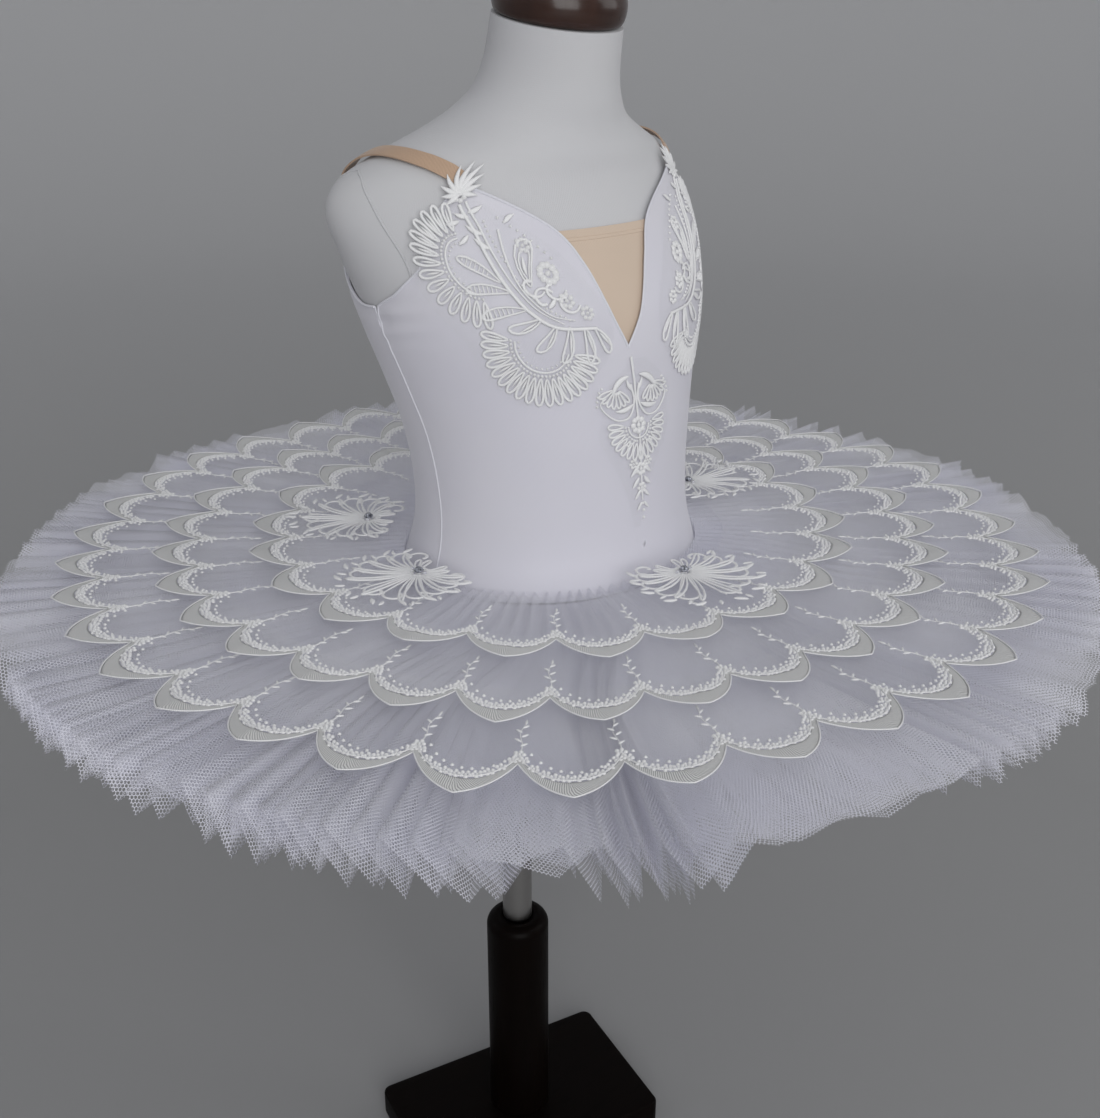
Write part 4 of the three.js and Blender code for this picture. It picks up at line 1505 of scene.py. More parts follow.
def weld(piece: bpy.types.Object) -> None:
    """Join points of a piece that lie in one place, and drop the doubled walls inside it."""
    import bmesh
    mesh = bmesh.new()
    mesh.from_mesh(piece.data)
    bmesh.ops.remove_doubles(mesh, verts=mesh.verts, dist=1e-5)
    alike = {}
    for face in mesh.faces:
        alike.setdefault(frozenset(point.index for point in face.verts), []).append(face)
    inside = [face for group in alike.values() if len(group) > 1 for face in group]
    bmesh.ops.delete(mesh, geom=inside, context="FACES")
    mesh.to_mesh(piece.data)
    mesh.free()


@dataclass
class BodiceLace:
    """The corded lace on the breasts and down the middle of the bodice.

    Args:
        surface: The working surface.
        finishes: The materials.
        lift: Distance of the lace's underside from the skin, in millimetres.
    """

    surface: TorsoForm
    finishes: Finishes
    lift: float = 4.0

    def build(self) -> list[bpy.types.Object]:
        """Make the two breast pieces and the centre piece.

        Returns:
            The pieces.
        """
        breast = self._breast()
        pieces = []
        for name, side in (("right", -1), ("left", 1)):
            pot = MeshPot()
            breast.lay(pot, self._bed(side, 30.0, lambda height: height * 0 - 2.0))
            piece = pot.piece(f"applique_{name}_cords", [self.finishes.cord])
            pieces.append(settle(piece, []))
            pieces.append(self._ground(name, BREAST_OUTLINE, side, -2.0, (0.075, 0.11)))
        pot = MeshPot()
        self._centre().lay(pot, self._bed(1, 0.0, self.surface.drift))
        piece = pot.piece("applique_centre_cords", [self.finishes.cord])
        pieces.append(settle(piece, []))
        pieces.append(self._ground("centre", CENTRE_OUTLINE, 1, -2.0, (0.055, 0.105)))
        return pieces

    def _ground(self, name: str, outline: HeightTable, side: int, slip: float,
                flat: tuple[float, float]) -> bpy.types.Object:
        """The net that a motif is worked on, cut round its outline.

        Args:
            name: Which motif.
            outline: Its first and last angle at each height.
            side: -1 for the wearer's right and 1 for the left.
            slip: How far it has slipped round the form, in degrees.
            flat: Width and length of the piece of net that it is cut from, in metres; not used.

        Returns:
            The piece.
        """
        rows = np.linspace(outline.rows[0][0], outline.rows[-1][0], 50)[:, None]
        first, last = outline.smooth(rows, 1), outline.smooth(rows, 2)
        angle = side * (first + (last - first) * np.linspace(0, 1, 24)[None]) + slip
        height = rows * np.ones_like(angle)
        points = self.surface.point(angle, height, self.lift - 0.1)
        pot = MeshPot()
        pot.grid(points, np.stack([angle * 1.9, height], axis=-1) * MM, flip=side < 0)
        piece = settle(pot.piece(f"applique_{name}_ground", [self.finishes.ground]),
                       [f"applique_{name}"])
        round(sheet_area(piece), 4)
        return piece

    def _bed(self, side: int, middle: float, slip: Callable[[np.ndarray], np.ndarray]) -> Bed:
        """A surface for lace on the bodice.

        Args:
            side: -1 for the wearer's right and 1 for the left.
            middle: Angle from the front at which u is zero.
            slip: How far the lace has slipped round the form at a height, in degrees.

        Returns:
            The bed; u runs away from the centre line, and v is the height from the waist.
        """
        def bed(path: np.ndarray, lift: float) -> tuple[np.ndarray, np.ndarray]:
            height = path[:, 1]
            reach = self.surface.skin(np.full(len(path), middle + 1.0), height)
            reach = reach - self.surface.skin(np.full(len(path), middle - 1.0), height)
            per_degree = np.linalg.norm(reach, axis=-1) / 2
            angle = side * (middle + path[:, 0] / per_degree) + slip(height)
            return self.surface.point(angle, height, self.lift + lift), self.surface.normal(angle, height)
        return bed

    def _breast(self) -> Lacework:
        """The motif of one breast: a stem from the strap to the V with two fans of looped petals."""
        lace = Lacework()
        self._tuft(lace, (20, 225))
        self._fan(lace, (25, 190), (-84, 84), 14, 31, 16)
        self._fan(lace, (3, 149), (-160, 14), 18, 32, 16.5)
        stem = [(20, 220), (16, 208), (15, 193), (11, 178), (4, 166), (-8, 158), (-29, 156)]
        lace.cord(stem, 2.2, 52, taper=0.9, height=1.2)
        lace.cord([(u - 3.6, v + 1.6) for u, v in stem[:-1]], 1.6, 44, height=1.0)
        lace.cord([(3, 207), (6, 192), (4, 177), (-5, 165), (-18, 161)], 1.5, 36, height=0.9)
        lace.bead_row([(u - 7.2, v + 3.4) for u, v in stem[1:-1]], 2.3, 0.85)
        for base, heading, length in (((14, 182), 45, 22), ((11, 177), 14, 23), ((6, 168), 2, 25)):
            self._ladder_leaf(lace, base, heading, length)
        for base, heading, length in (((0, 163), -28, 19), ((-7, 159), -58, 18), ((-14, 158), -84, 20),
                                      ((-22, 157), -104, 19), ((-28, 156), -128, 15)):
            lace.petal(base, heading, length, 6.6, 1.7, bend=14, height=0.9)
            lace.leaf((base[0] + 3 * math.cos(math.radians(heading)),
                       base[1] + 3 * math.sin(math.radians(heading))), heading, length * 0.6, 1.6, 9)
        for base, heading, length, bend in (
                ((12, 205), 20, 9, 30), ((16, 214), 0, 8, 30), ((12, 198), 30, 8, 30),
                ((16, 216), 170, 9, -30), ((-2, 210), 130, 8, 40), ((-6, 168), 150, 8, -30),
                ((20, 205), -40, 9, 20), ((22, 212), -20, 8, 20)):
            lace.leaf(base, heading, length, 3.2, bend)
        self._paisley(lace, (-1, 191))
        lace.ring_flower((-13, 185), 4.2, 10)
        lace.ring_flower((-17, 171), 3.1, 7)
        lace.ring_flower((-26, 164), 2.7, 7)
        lace.ring_flower((-6, 199), 2.8, 7)
        for base, heading, sense in (((-8, 178), -60, 1), ((-19, 178), -80, 1), ((-24, 170), -70, 1),
                                     ((-12, 174), 60, -1)):
            lace.curl(base, heading, 10, sense, 1.5)
        lace.bead_row([(1, 213), (-9, 204), (-18, 192)], 3.0, 0.9)
        return lace

    def _paisley(self, lace: Lacework, base: tuple[float, float]) -> None:
        """Two looped drops, one inside the other, with beads round them."""
        u, v = base
        lace.petal((u, v - 12), 88, 24, 12.0, 1.5, bend=22, height=0.9)
        lace.petal((u - 0.3, v - 9), 88, 16, 7.5, 1.3, bend=22, height=0.8)
        lace.leaf((u - 0.5, v - 6), 92, 9, 2.4, bend=18)

    def _fan(self, lace: Lacework, centre: tuple[float, float], turn: tuple[float, float],
             count: int, reach: float, ring: float) -> None:
        """A crescent of looped petals round a ring of beads.

        Args:
            lace: Takes the fan.
            centre: Middle of its arc.
            turn: Directions of its first and last petal, in degrees.
            count: How many petals.
            reach: Distance of the petals' tips from the centre.
            ring: Radius of the ring of beads.
        """
        lace.fan(centre, *turn, count, ring + 1.4, reach, 5.4, 1.8, swell=0.12)
        for step in range(count):
            heading = turn[0] + (turn[1] - turn[0]) * step / (count - 1)
            out = math.radians(heading)
            lace.leaf((centre[0] + (ring + 4) * math.cos(out), centre[1] + (ring + 4) * math.sin(out)),
                      heading, (reach - ring) * 0.55, 1.5, height=0.5, count=5)
        arc = np.radians(np.linspace(turn[0], turn[1], 12))
        for radius, pitch, size in ((ring, 2.0, 0.95), (ring - 4.2, 2.6, 0.7)):
            lace.bead_row([(centre[0] + radius * math.cos(t), centre[1] + radius * math.sin(t))
                           for t in arc], pitch, size)
        lace.cord([(centre[0] + (ring - 2.2) * math.cos(t), centre[1] + (ring - 2.2) * math.sin(t))
                   for t in arc], 1.3, 36, taper=1.0)

    def _ladder_leaf(self, lace: Lacework, base: tuple[float, float], heading: float,
                     length: float) -> None:
        """A looped leaf with rungs across its inside."""
        lace.petal(base, heading, length, 7.0, 1.5, bend=-10, height=0.9)
        turn = math.radians(heading - 6)
        out = np.array([math.cos(turn), math.sin(turn)])
        side = np.array([-out[1], out[0]])
        for share in np.linspace(0.3, 0.88, 7):
            middle = np.array(base) + out * length * share
            reach = 3.0 * math.sin(math.pi * share**1.4) * 0.85
            lace.cord([middle - side * reach, middle, middle + side * reach], 0.8, 4, taper=1.0,
                      height=0.5)

    def _tuft(self, lace: Lacework, centre: tuple[float, float]) -> None:
        """Pointed leaves standing out where the strap joins."""
        for heading, length in ((62, 15), (84, 16), (106, 16), (128, 14), (152, 12), (178, 10),
                                (38, 14), (14, 12), (-12, 10), (-40, 9)):
            lace.leaf(centre, heading, length, 3.0, bend=12, height=1.2)
        lace.ring_flower(centre, 3.0, 7)

    def _centre(self) -> Lacework:
        """The motif below the V: two curled horns, a half round of petals and a tapering tail."""
        lace = Lacework()
        half = Lacework()
        half.leaf((4, 127), -10, 17, 4.0, bend=-70, height=1.3, count=13)
        half.fan((13, 121), -130, -20, 7, 2.5, 12, 3.6, 1.5)
        half.cord([(3, 122), (1.5, 112), (6, 103), (14, 102), (21, 107), (24, 113), (20, 116)], 1.8, 34)
        half.leaf((3, 110), -35, 13, 3.4, bend=55, height=1.2, count=11)
        half.bead_row([(22, 122), (25, 118), (26, 112)], 2.2, 0.9)
        half.leaf((2, 118), 50, 8, 2.6, 30)
        half.leaf((2, 73), -58, 9, 3.2, 25)
        half.leaf((2, 65), -60, 8, 2.8, 25)
        half.leaf((1.5, 57), -62, 7, 2.4, 25)
        half.leaf((1.2, 49), -64, 6, 2.0, 25)
        half.ring_flower((5.5, 74), 2.2, 6)
        half.bead_row([(4, 88), (9, 86), (13, 90)], 2.1, 0.9)
        lace.join(half)
        lace.join(half.moved((0, 0), mirror=True))
        lace.fan((0, 97), -185, 5, 15, 11, 21, 4.2, 1.6)
        arc = np.radians(np.linspace(-180, 0, 10))
        lace.bead_row([(9.6 * math.cos(t), 97 + 9.6 * math.sin(t)) for t in arc], 2.0, 0.9)
        lace.cord([(7.6 * math.cos(t), 97 + 7.6 * math.sin(t)) for t in arc], 1.2, 26, taper=1.0)
        lace.cord([(0, 138), (0, 120), (0, 100), (0, 78), (0, 50)], 1.8, 40, taper=0.6)
        lace.bead_row([(0, 48), (0.6, 44), (0, 39)], 2.6, 1.1)
        lace.ring_flower((0, 97), 3.8, 8)
        lace.ring_flower((0, 70), 3.0, 7)
        lace.ring_flower((0, 58), 2.4, 6)
        return lace


# ---- The skirt ------------------------------------------------------------------------------------


@dataclass(frozen=True)
class NetSheet:
    """One sheet of pleated net.

    Args:
        name: The piece's name.
        node: The CAD node that it stands for.
        start: Height at the body.
        rim_radius: Radius of its rim.
        rim_height: Height of its rim.
        depth: How far its folds fall at the rim.
        stray: How far its fold groups stray from the other sheets', in degrees.
        seed: Seed of their unevenness.
    """

    name: str
    node: str
    start: float
    rim_radius: float
    rim_height: float
    depth: float
    stray: float
    seed: int


NET_SHEETS = (
    NetSheet("net_sheet_1", "net_layer_1", 3, 337, 0, 8, 0.0, 11),
    NetSheet("net_sheet_2", "net_layer_1", 0, 335, -3, 9, 0.2, 12),
    NetSheet("net_sheet_3", "net_layer_2", -5, 329, -5, 9, 0.3, 13),
    NetSheet("net_sheet_4", "net_layer_2", -9, 321, -8, 9, 0.4, 14),
    NetSheet("net_sheet_5", "net_layer_3", -13, 313, -10, 8, 0.6, 15),
    NetSheet("net_sheet_6", "net_layer_3", -18, 303, -13, 8, 0.8, 16),
    NetSheet("net_sheet_7", "net_layer_4", -22, 291, -16, 7, 1.2, 17),
    NetSheet("net_sheet_8", "net_layer_4", -27, 276, -19, 7, 1.6, 18),
)

# Groups of deep folds, stitched through every sheet: first and last angle, folds and depth.
FOLD_GROUPS = (
    (-176, -160, 5, 1.0),
    (-150, -128, 7, 1.1),
    (-120, -106, 5, 0.9),
    (-98, -74, 8, 1.2),
    (-68, -49, 6, 1.5),
    (-41, -32, 4, 1.7),
    (-9, 6, 6, 0.8),
    (24, 44, 6, 1.1),
    (62, 78, 5, 1.0),
    (90, 112, 7, 1.1),
    (126, 146, 6, 1.0),
    (158, 172, 4, 0.9),
)


def swell(angle: np.ndarray, radius: np.ndarray) -> np.ndarray:
    """The skirt's slow rise and fall, in millimetres, shared by all that lies on it."""
    turn = np.radians(angle)
    wave = np.sin(3 * turn + 0.6) + 0.7 * np.sin(5 * turn + 2.1) + 0.5 * np.sin(8 * turn + 4.0)
    return 2.2 * wave * ease(radius, 130, 330)


@dataclass
class NetSkirt:
    """Eight sheets of stiff net, gathered at the waist and pleated out to the rim.

    Args:
        surface: The working surface.
        finishes: The materials.
        clearance: Distance of each sheet's start from the skin, in millimetres.
        steps: Points from one fold to the next.
        rows: Points from the body to the rim.
    """

    surface: TorsoForm
    finishes: Finishes
    clearance: float = 5.0
    steps: int = 4
    rows: int = 24

    def build(self) -> list[bpy.types.Object]:
        """Make the sheets.

        Returns:
            The pieces.
        """
        return [self._sheet(sheet) for sheet in NET_SHEETS]

    def _folds(self, sheet: NetSheet) -> tuple[np.ndarray, np.ndarray, np.ndarray]:
        """Where a sheet's folds come at the rim.

        Args:
            sheet: The sheet.

        Returns:
            Angle, level from -1 to 1 times its depth and reach of each fold line, the last
            repeating the first a turn later.
        """
        draw = np.random.default_rng(sheet.seed)
        angle, level, reach = [], [], []
        for index, (first, last, count, depth) in enumerate(FOLD_GROUPS):
            shift = sheet.stray * draw.uniform(-1, 1)
            following = FOLD_GROUPS[(index + 1) % len(FOLD_GROUPS)][0] + (
                360 if index == len(FOLD_GROUPS) - 1 else 0)
            shared = np.random.default_rng(500 + index)
            widths = shared.uniform(0.7, 1.3, count)
            crests = first + shift + (last - first) * np.concatenate([[0], np.cumsum(widths)[:-1]]) \
                / widths.sum()
            for crest, width in zip(crests, widths * (last - first) / widths.sum()):
                deep = sheet.depth * depth * shared.uniform(0.75, 1.25)
                angle += [crest, crest + width * shared.uniform(0.8, 1.15)]
                level += [0.45 * deep, -0.95 * deep]
                reach += [draw.uniform(-3, 0), shared.uniform(1, 6)]
            gap = following - last
            flats = max(int(round(gap / 7)), 1)
            for step in range(flats):
                place = last + shift + gap * (step + 0.35) / (flats + 0.35)
                angle += [place, place + gap / flats * draw.uniform(0.35, 0.5)]
                level += [sheet.depth * draw.uniform(0.0, 0.25), -sheet.depth * draw.uniform(0.0, 0.3)]
                reach += [draw.uniform(-2, 1), draw.uniform(-1, 2)]
        return (np.append(angle, angle[0] + 360), np.append(level, level[0]),
                np.append(reach, reach[0]))

    def _sheet(self, sheet: NetSheet) -> bpy.types.Object:
        """Make one sheet."""
        angle, level, reach = self._folds(sheet)
        count = len(angle) - 1
        knots = np.arange(count + 1) * self.steps
        column = np.arange(count * self.steps + 1)
        draw = np.random.default_rng(sheet.seed + 100)
        ripple = draw.uniform(-1, 1, len(column))
        ripple[-1] = ripple[0]
        rim_angle = np.interp(column, knots, angle)
        rim_level = np.interp(column, knots, level) + 0.5 * ripple
        rim_reach = np.interp(column, knots, reach) + 0.9 * ripple
        even = angle[0] + 360 * column / column[-1]
        start_angle = 0.75 * even + 0.25 * rim_angle
        share = np.linspace(0, 1, self.rows)[:, None]
        way = ease(share, 0.0, 0.55)
        turn_angle = start_angle + (rim_angle - start_angle) * way
        sway = 3.2 * np.sin(np.radians(2 * turn_angle + 40 * sheet.seed)) * share
        start = self.surface.skin(start_angle, np.full(len(column), float(sheet.start)))
        start = start + self.surface.normal(start_angle, np.full(len(column), float(sheet.start))) * \
            self.clearance
        start_radius = np.hypot(start[:, 0], start[:, 1])
        start_turn = np.degrees(np.unwrap(np.arctan2(start[:, 0], -start[:, 1])))
        start_turn = start_turn + 360 * np.round((turn_angle[0] - start_turn) / 360)
        direction = start_turn + (turn_angle + sway - start_turn) * ease(share, 0.0, 0.4)
        rim = sheet.rim_radius + rim_reach
        radius = start_radius + (rim - start_radius) * share
        gather = np.where(knots[-1] > 0, np.cos(np.pi * column / self.steps), 0) * 3.2
        depth = ease(share, 0.05, 0.8) ** 0.8 * (0.4 + 0.6 * share) * (1 + 0.25 * ease(share, 0.85, 1))
        height = sheet.start + (sheet.rim_height - sheet.start) * share
        height = height + gather * (1 - ease(share, 0, 0.35)) + rim_level * depth
        height = height + swell(direction, radius)
        turn = np.radians(direction)
        place = np.stack([radius * np.sin(turn), -radius * np.cos(turn), height], axis=-1)
        points = self.surface.world(place)
        run = np.linalg.norm(np.diff(points[-1], axis=0), axis=1)
        across = np.concatenate([[0], np.cumsum(run)])
        outward = (radius.mean(axis=1) * MM)[:, None]
        uvs = np.stack(np.broadcast_arrays(across[None], outward), axis=-1)
        pot = MeshPot()
        pot.grid(points[:, :-1], uvs, closed=True, flip=True)
        piece = settle(pot.piece(sheet.name, [self.finishes.net]), [sheet.node])
        self._declare(piece, across[-1], (sheet.rim_radius - start_radius.mean()) * MM)
        return piece

    def _declare(self, piece: bpy.types.Object, width: float, length: float) -> None:
        """Say what a sheet was cut to."""
        faces = piece.data.polygons
        area = np.zeros(len(faces))
        faces.foreach_get("area", area)
        LOG.info("%s: %.2f by %.2f m, %.3f m2 of %.3f", piece.name, width, length, area.sum(),
                 width * length)


@dataclass(frozen=True)
class TierPlan:
    """One round of scalloped lace edging.

    Args:
        name: The piece's name.
        node: The CAD node that it stands for.
        scallops: Scallops in one round.
        tip: Radius at the scallops' tips, in millimetres.
        depth: Width of the edging.
        low: Height at its inner edge.
        high: Height at its outer edge.
        notch: How far the edge draws in between two scallops.
    """

    name: str
    node: str
    scallops: int
    tip: float
    depth: float
    low: float
    high: float
    notch: float


TIERS = (
    TierPlan("lace_outer", "lace_tier_outer", 36, 303, 96, 6.4, 8.8, 27),
    TierPlan("lace_middle", "lace_tier_middle", 30, 247, 92, 8.6, 11.0, 25),
    TierPlan("lace_inner", "lace_tier_inner", 22, 190, 80, 11.0, 13.2, 23),
)


@dataclass
class LaceTiers:
    """Three rounds of lace edging: net ground, satin border, tiny flowers and sprigs.

    Args:
        surface: The working surface.
        finishes: The materials.
        border: Breadth of the satin border, in millimetres.
        steps: Points along one scallop.
    """

    surface: TorsoForm
    finishes: Finishes
    border: float = 9.5
    steps: int = 24

    def build(self) -> list[bpy.types.Object]:
        """Make the ground and the raised work of each round.

        Returns:
            The pieces.
        """
        pieces = []
        for plan in TIERS:
            work = self._work(plan)
            ground = self._ground(plan, work)
            pieces += [ground, work]
        return pieces

    def _edge(self, plan: TierPlan, share: np.ndarray) -> np.ndarray:
        """Radius of the scalloped edge.

        Args:
            plan: The round.
            share: Place along a scallop, -1 and 1 at its ends and 0 at its tip.

        Returns:
            Radii in millimetres.
        """
        side = np.abs(share)
        return plan.tip - plan.notch * (0.42 * side + 0.58 * side**2.4)

    def _height(self, plan: TierPlan, angle: np.ndarray, radius: np.ndarray) -> np.ndarray:
        """Height of the ground, which rises a little to the tips."""
        climb = (radius - (plan.tip - plan.depth)) / plan.depth
        scallop = (angle / 360 * plan.scallops + 0.5) % 1.0 * 2 - 1
        lift = 2.4 * ease(climb, 0.6, 1.0) * (1 - np.abs(scallop)) * (
            0.5 + 0.5 * np.sin(np.radians(angle * 7.3) + plan.scallops))
        return plan.low + (plan.high - plan.low) * climb + swell(angle, radius) + lift

    def _bed(self, plan: TierPlan) -> Bed:
        """A surface on which u is the angle in degrees and v the radius."""
        def bed(path: np.ndarray, lift: float) -> tuple[np.ndarray, np.ndarray]:
            angle, radius = path[:, 0], path[:, 1]
            turn = np.radians(angle)
            height = self._height(plan, angle, radius) + lift + 0.2
            place = np.stack([radius * np.sin(turn), -radius * np.cos(turn), height], axis=1)
            up = np.tile(np.array([0.0, 0.0, 1.0]), (len(path), 1))
            return self.surface.world(place), up
        return bed

    def _ground(self, plan: TierPlan, work: bpy.types.Object) -> bpy.types.Object:
        """The net that the border and the flowers are worked on."""
        columns = plan.scallops * self.steps
        angle = np.linspace(-180, 180, columns + 1)
        scallop = (angle / 360 * plan.scallops + 0.5) % 1.0 * 2 - 1
        rim = self._edge(plan, scallop) - 1.0
        start = plan.tip - plan.depth
        share = np.linspace(0, 1, 14)[:, None]
        radius = start + (rim - start) * share
        grid_angle = angle[None] * np.ones_like(radius)
        turn = np.radians(grid_angle)
        height = self._height(plan, grid_angle, radius)
        points = self.surface.world(
            np.stack([radius * np.sin(turn), -radius * np.cos(turn), height], axis=-1))
        uvs = np.stack([turn * plan.tip, radius], axis=-1) * MM
        pot = MeshPot()
        pot.grid(points[:, :-1], uvs, closed=True, flip=True)
        piece = settle(pot.piece(f"{plan.name}_ground", [self.finishes.ground]), [plan.node])
        return piece

    def _work(self, plan: TierPlan) -> bpy.types.Object:
        """The satin border, its edge cord, the flowers inside it and the sprigs at the cusps."""
        pot = MeshPot()
        bed = self._bed(plan)
        columns = plan.scallops * self.steps
        angle = np.arange(columns) * 360 / columns - 180
        scallop = (angle / 360 * plan.scallops + 0.5) % 1.0 * 2 - 1
        edge = self._edge(plan, scallop)
        breadth = self.border * (0.5 + 0.8 * (1 - np.abs(scallop)) ** 1.3)
        middle = np.stack([angle, edge - breadth / 2 - 0.8], axis=1)
        points, normals = bed(middle, 0.2)
        slope = np.hypot(1.0, np.gradient(edge) / (np.radians(360 / columns) * edge))
        half = breadth / 2 / slope**0.8
        pot.tube(points, normals, half * MM, np.full(columns, 0.32 * MM), 8, closed=True, ink=1)
        for inset, width in ((0.3, 0.38), (None, 0.4)):
            line = edge - inset if inset is not None else edge - breadth - 1.4
            points, normals = bed(np.stack([angle, line], axis=1), 0.6)
            pot.tube(points, normals, np.full(columns, width * MM), np.full(columns, width * MM), 5,
                     closed=True)
        self._flowers(plan, bed, pot)
        return settle(pot.piece(f"{plan.name}_work", [self.finishes.cord, self.finishes.satin]),
                      [])

    def _flowers(self, plan: TierPlan, bed: Bed, pot: MeshPot) -> None:
        """Tiny flowers and dots inside the border, and a sprig at each cusp."""
        degree = math.degrees(1.0 / plan.tip)
        span = 360 / plan.scallops
        for step in range(plan.scallops):
            middle = -180 + span * (step + (0.0 if plan.scallops % 2 == 0 else 0.5))
            local = Lacework()
            for place in np.linspace(-0.9, 0.9, 10):
                radius = self._inside(plan, place)
                u = float(place) * span / 2 / degree
                local.ring_flower((u, radius - 3.4), 2.15, 5, turn=float(place) * 60)
                local.beads.append((u * 0.94 + 2.2, radius - 8.6, 0.95))
            cusp = span / 2 / degree
            foot = plan.tip - plan.notch - self.border * 0.5
            local.cord([(cusp, foot - 2), (cusp + 1, foot - 12), (cusp - 1, foot - 22),
                        (cusp + 1.5, foot - 31)], 0.8, 14)
            local.ring_flower((cusp, foot - 4), 2.4, 5)
            for rise, sense in ((11, 1), (15, -1), (19, 1), (23, -1), (27, 1)):
                local.leaf((cusp, foot - rise), -90 + 50 * sense, 4.6, 1.5, bend=20 * sense, count=6)
            local.leaf((cusp + 1.5, foot - 30), -85, 5, 1.5, count=6)
            self._lay_local(local, middle, degree, bed, pot)

    def _inside(self, plan: TierPlan, share: float) -> float:
        """Radius of the border's inner side at a place along a scallop."""
        breadth = self.border * (0.5 + 0.8 * (1 - abs(share)) ** 1.3)
        return float(self._edge(plan, np.array(share))) - breadth

    def _lay_local(self, local: Lacework, middle: float, degree: float, bed: Bed,
                   pot: MeshPot) -> None:
        """Lay a motif whose u is in millimetres along the edge from a scallop's middle."""
        def shifted(path: np.ndarray, lift: float) -> tuple[np.ndarray, np.ndarray]:
            turned = np.stack([middle + path[:, 0] * degree, path[:, 1]], axis=1)
            return bed(turned, lift)
        local.lay(pot, shifted)


@dataclass
class SkirtFlowers:
    """Corded flowers on the skirt, each with a dark stone in its middle.

    Args:
        surface: The working surface.
        finishes: The materials.
        centre: Distance of a flower's stone from the body's centre, in millimetres.
        height: Height of a flower above the waist.
    """

    surface: TorsoForm
    finishes: Finishes
    centre: float = 116.0
    height: float = 15.6

    def build(self) -> list[bpy.types.Object]:
        """Make the five flowers and their stones.

        Returns:
            The pieces.
        """
        motif = self._motif()
        pieces = []
        places = {"front": 0, "side_right": -83, "side_left": 83, "back_right": -131, "back_left": 131}
        for name, angle in places.items():
            pot = MeshPot()
            motif.lay(pot, self._bed(angle))
            flower = pot.piece(f"flower_{name}", [self.finishes.cord])
            pieces.append(settle(flower, [f"skirt_flower_{name}"]))
            pieces.append(self._stone(name, angle))
        return pieces

    def _bed(self, angle: float) -> Bed:
        """A surface round a flower's middle, with v pointing out from the body."""
        turn = math.radians(angle)
        out = np.array([math.sin(turn), -math.cos(turn), 0.0])
        side = np.array([math.cos(turn), math.sin(turn), 0.0])

        def bed(path: np.ndarray, lift: float) -> tuple[np.ndarray, np.ndarray]:
            reach = np.hypot(path[:, 0], path[:, 1])
            height = self.height + lift + 0.0006 * reach**2
            flat = side * path[:, :1] + out * (self.centre + path[:, 1:2])
            radius = np.hypot(flat[:, 0], flat[:, 1])
            place = flat + np.array([0.0, 0.0, 1.0]) * (height + swell(angle, radius))[:, None]
            return self.surface.world(place), np.tile(np.array([0.0, 0.0, 1.0]), (len(path), 1))
        return bed

    def _motif(self) -> Lacework:
        """Radiating looped petals in curved pairs, curls and small leaves."""
        lace = Lacework()
        for step in range(-7, 8):
            turn = step * 21.0
            heading = 90 + turn
            sense = 1 if step > 0 else -1
            long = abs(step) < 6
            length = 22 + 17 * math.cos(math.radians(turn * 0.75)) ** 2 if long else 13.0
            out = np.array([math.cos(math.radians(heading)), math.sin(math.radians(heading))])
            lace.petal(out * 4.6, heading, length, 4.2, 1.6, bend=sense * 14 if step else 0, height=1.1)
            if not long:
                continue
            between = math.radians(heading + 10.5)
            way = np.array([math.cos(between), math.sin(between)])
            lace.cord([way * 6, way * length * 0.62, way * length * 0.95 + out * 2], 1.5, 12,
                      height=1.0)
            lace.curl(way * length * 0.8, heading + 10.5, 12, sense, 1.7)
            lace.leaf(way * (length + 7), heading + 10 + 55 * sense, 8, 3.0, 25, height=1.2)
            lace.leaf(out * (length + 7), heading + 8 * sense, 6, 2.4, 20, height=1.0)
        lace.ring_flower((0, 0), 5.4, 10)
        return lace

    def _stone(self, name: str, angle: float) -> bpy.types.Object:
        """A faceted dark stone with two small bright ones beside it."""
        bed = self._bed(angle)
        pot = MeshPot()
        for shift, radius, height, facets, ink in ((0.0, 3.1, 2.6, 8, 0), (-5.0, 1.3, 1.2, 6, 1),
                                                   (5.0, 1.3, 1.2, 6, 1)):
            point, normal = bed(np.array([[shift, 0.0]]), 1.2)
            self._gem(pot, point[0], radius, height, facets, ink)
        piece = pot.piece(f"stone_{name}", [self.finishes.stone, self.finishes.bright], smooth=False)
        return settle(piece, [f"flower_stone_{name}"])

    def _gem(self, pot: MeshPot, foot: np.ndarray, radius: float, height: float, facets: int,
             ink: int) -> None:
        """A cut stone: a girdle, two rows of facets and a flat table."""
        rings = []
        for share, level, shift in ((0.8, 0.0, 0.0), (1.0, 0.3, 0.0), (0.82, 0.65, 0.5),
                                    (0.5, 1.0, 0.0)):
            turn = (np.arange(facets) + shift) * 2 * np.pi / facets
            ring = np.stack([np.cos(turn) * radius * share, np.sin(turn) * radius * share,
                             np.full(facets, height * level)], axis=1)
            rings.append(foot + ring * MM)
        points = np.array(rings)
        pot.grid(points, np.zeros((4, facets + 1, 2)), closed=True, ink=ink)
        pot._cap(points[0], True, ink)
        pot._cap(points[-1], False, ink)


# ---- The studio -----------------------------------------------------------------------------------


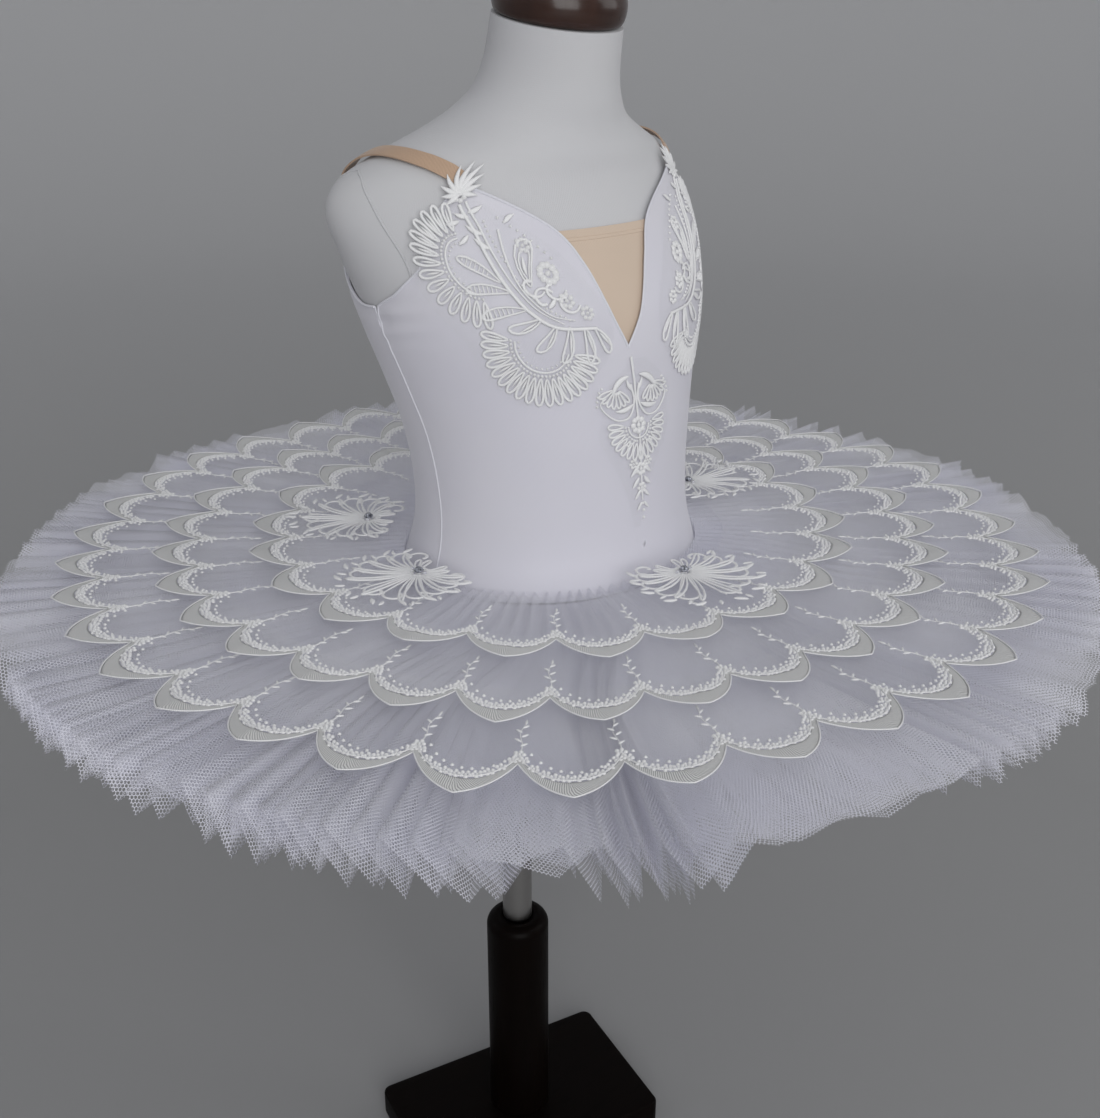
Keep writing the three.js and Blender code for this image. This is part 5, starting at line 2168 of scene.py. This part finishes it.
@dataclass
class Studio:
    """Camera, floor and soft light.

    Args:
        waist: Height of the waist, in metres.
        lens: Focal length for a 36 mm wide sensor, in millimetres.
        distance: How far the camera stands from the body's axis.
        rise: Its height over the waist.
        azimuth: Its angle round the body from the front, towards the wearer's right.
        pitch: How far it looks down, in degrees.
    """

    waist: float
    lens: float = 42.55
    distance: float = 0.7757
    rise: float = 0.3223
    azimuth: float = 42.0
    pitch: float = 23.4

    def camera(self) -> None:
        """Set up the camera."""
        data = bpy.data.cameras.new("studio_camera")
        data.lens = self.lens
        data.sensor_width = 36.0
        data.sensor_fit = "HORIZONTAL"
        data.clip_start = 0.01
        camera = bpy.data.objects.new("studio_camera", data)
        turn = math.radians(self.azimuth)
        camera.location = (-self.distance * math.sin(turn), -self.distance * math.cos(turn),
                           self.waist + self.rise)
        camera.rotation_euler = (math.radians(90 - self.pitch), 0.0, -turn)
        bpy.context.scene.collection.objects.link(camera)
        bpy.context.scene.camera = camera

    def floor(self) -> None:
        """A wide, plain pale floor that curves up into a round backdrop, painted lighter further from the
        stand.
        """
        flat, bend, top = 3.5, 3.0, 5.0
        profile = [(0.01, 0.0), (1.0, 0.0), (2.2, 0.0), (flat, 0.0)]
        profile += [(flat + bend * math.sin(t), bend * (1 - math.cos(t)))
                    for t in np.linspace(0.1, math.pi / 2, 24)]
        profile.append((flat + bend, top))
        turn = np.linspace(0, 2 * np.pi, 97)
        radius, height = np.array(profile).T[:, :, None]
        points = np.stack([radius * np.cos(turn), radius * np.sin(turn), height + 0 * turn], axis=-1)
        pot = MeshPot()
        pot.grid(points[:, :-1], points[..., :2], closed=True)
        pot._cap(points[0, :-1], True, 0)
        material = bpy.data.materials.new("pale floor")
        material.use_nodes = True
        shader = material.node_tree.nodes["Principled BSDF"]
        shader.inputs["Roughness"].default_value = 0.85
        tree = material.node_tree
        # Painted light: the floor's colour grows lighter with distance, standing in for the lamp light
        # that falls off on the far floor and backdrop.
        place = tree.nodes.new("ShaderNodeNewGeometry")
        away = tree.nodes.new("ShaderNodeVectorMath")
        away.operation = "LENGTH"
        spread = tree.nodes.new("ShaderNodeMapRange")
        spread.inputs["From Min"].default_value = 0.8
        spread.inputs["From Max"].default_value = 6.5
        spread.inputs["To Min"].default_value = 0.32
        spread.inputs["To Max"].default_value = 0.85
        tree.links.new(place.outputs["Position"], away.inputs[0])
        tree.links.new(away.outputs["Value"], spread.inputs["Value"])
        tree.links.new(spread.outputs["Result"], shader.inputs["Base Color"])
        pot.piece("studio_floor", [material])

    def lights(self) -> None:
        """A large soft light above, a softer one from the side and a pale surround."""
        self._area("top_light", (-0.4, -0.9, 2.7), (0.0, 0.0, 0.5), 2.4, 5.0)
        self._area("front_light", (-1.3, -2.3, 1.4), (0.0, 0.0, 0.6), 2.0, 37.0)
        self._area("side_light", (2.0, -1.6, 1.5), (0.0, 0.0, 0.6), 1.6, 10.0)
        self._area("back_light", (-1.4, 2.1, 2.0), (0.0, 0.0, 0.6), 1.8, 3.0)
        world = bpy.data.worlds.new("studio_surround")
        world.use_nodes = True
        surround = world.node_tree.nodes["Background"]
        surround.inputs["Color"].default_value = (0.62, 0.63, 0.66, 1.0)
        surround.inputs["Strength"].default_value = 0.53
        bpy.context.scene.world = world

    def _area(self, name: str, place: tuple[float, float, float],
              target: tuple[float, float, float], size: float, power: float) -> None:
        """Add one square soft light.

        Args:
            name: Its name.
            place: Where it hangs.
            target: What it points at.
            size: Length of a side, in metres.
            power: Its power in watts.
        """
        data = bpy.data.lights.new(name, "AREA")
        data.size = size
        data.energy = power
        light = bpy.data.objects.new(name, data)
        light.location = place
        aim = Vector(target) - Vector(place)
        light.rotation_euler = aim.to_track_quat("-Z", "Y").to_euler()
        bpy.context.scene.collection.objects.link(light)


# ---- All of it ------------------------------------------------------------------------------------


def main() -> None:
    """Build everything in order."""
    logging.basicConfig(level=logging.INFO, format="%(name)s: %(message)s", stream=sys.stdout)
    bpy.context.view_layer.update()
    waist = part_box("form_torso")[0].z - TORSO_SECTIONS.rows[0][0] * MM
    studio = Studio(waist)
    studio.camera()
    surface = TorsoForm(waist)
    finishes = Finishes()
    builders = (
        DressForm(surface, finishes),
        Stand(surface, finishes),
        Bodice(surface, finishes),
        BodiceLace(surface, finishes),
        NetSkirt(surface, finishes),
        LaceTiers(surface, finishes),
        SkirtFlowers(surface, finishes),
    )
    for builder in builders:
        pieces = builder.build()
        LOG.info("%s: %d pieces", type(builder).__name__, len(pieces))
    studio.floor()
    studio.lights()
    bpy.context.scene.cycles.transparent_max_bounces = 32
    bpy.context.scene.view_settings.view_transform = "Standard"


if __name__ == "__main__":
    main()
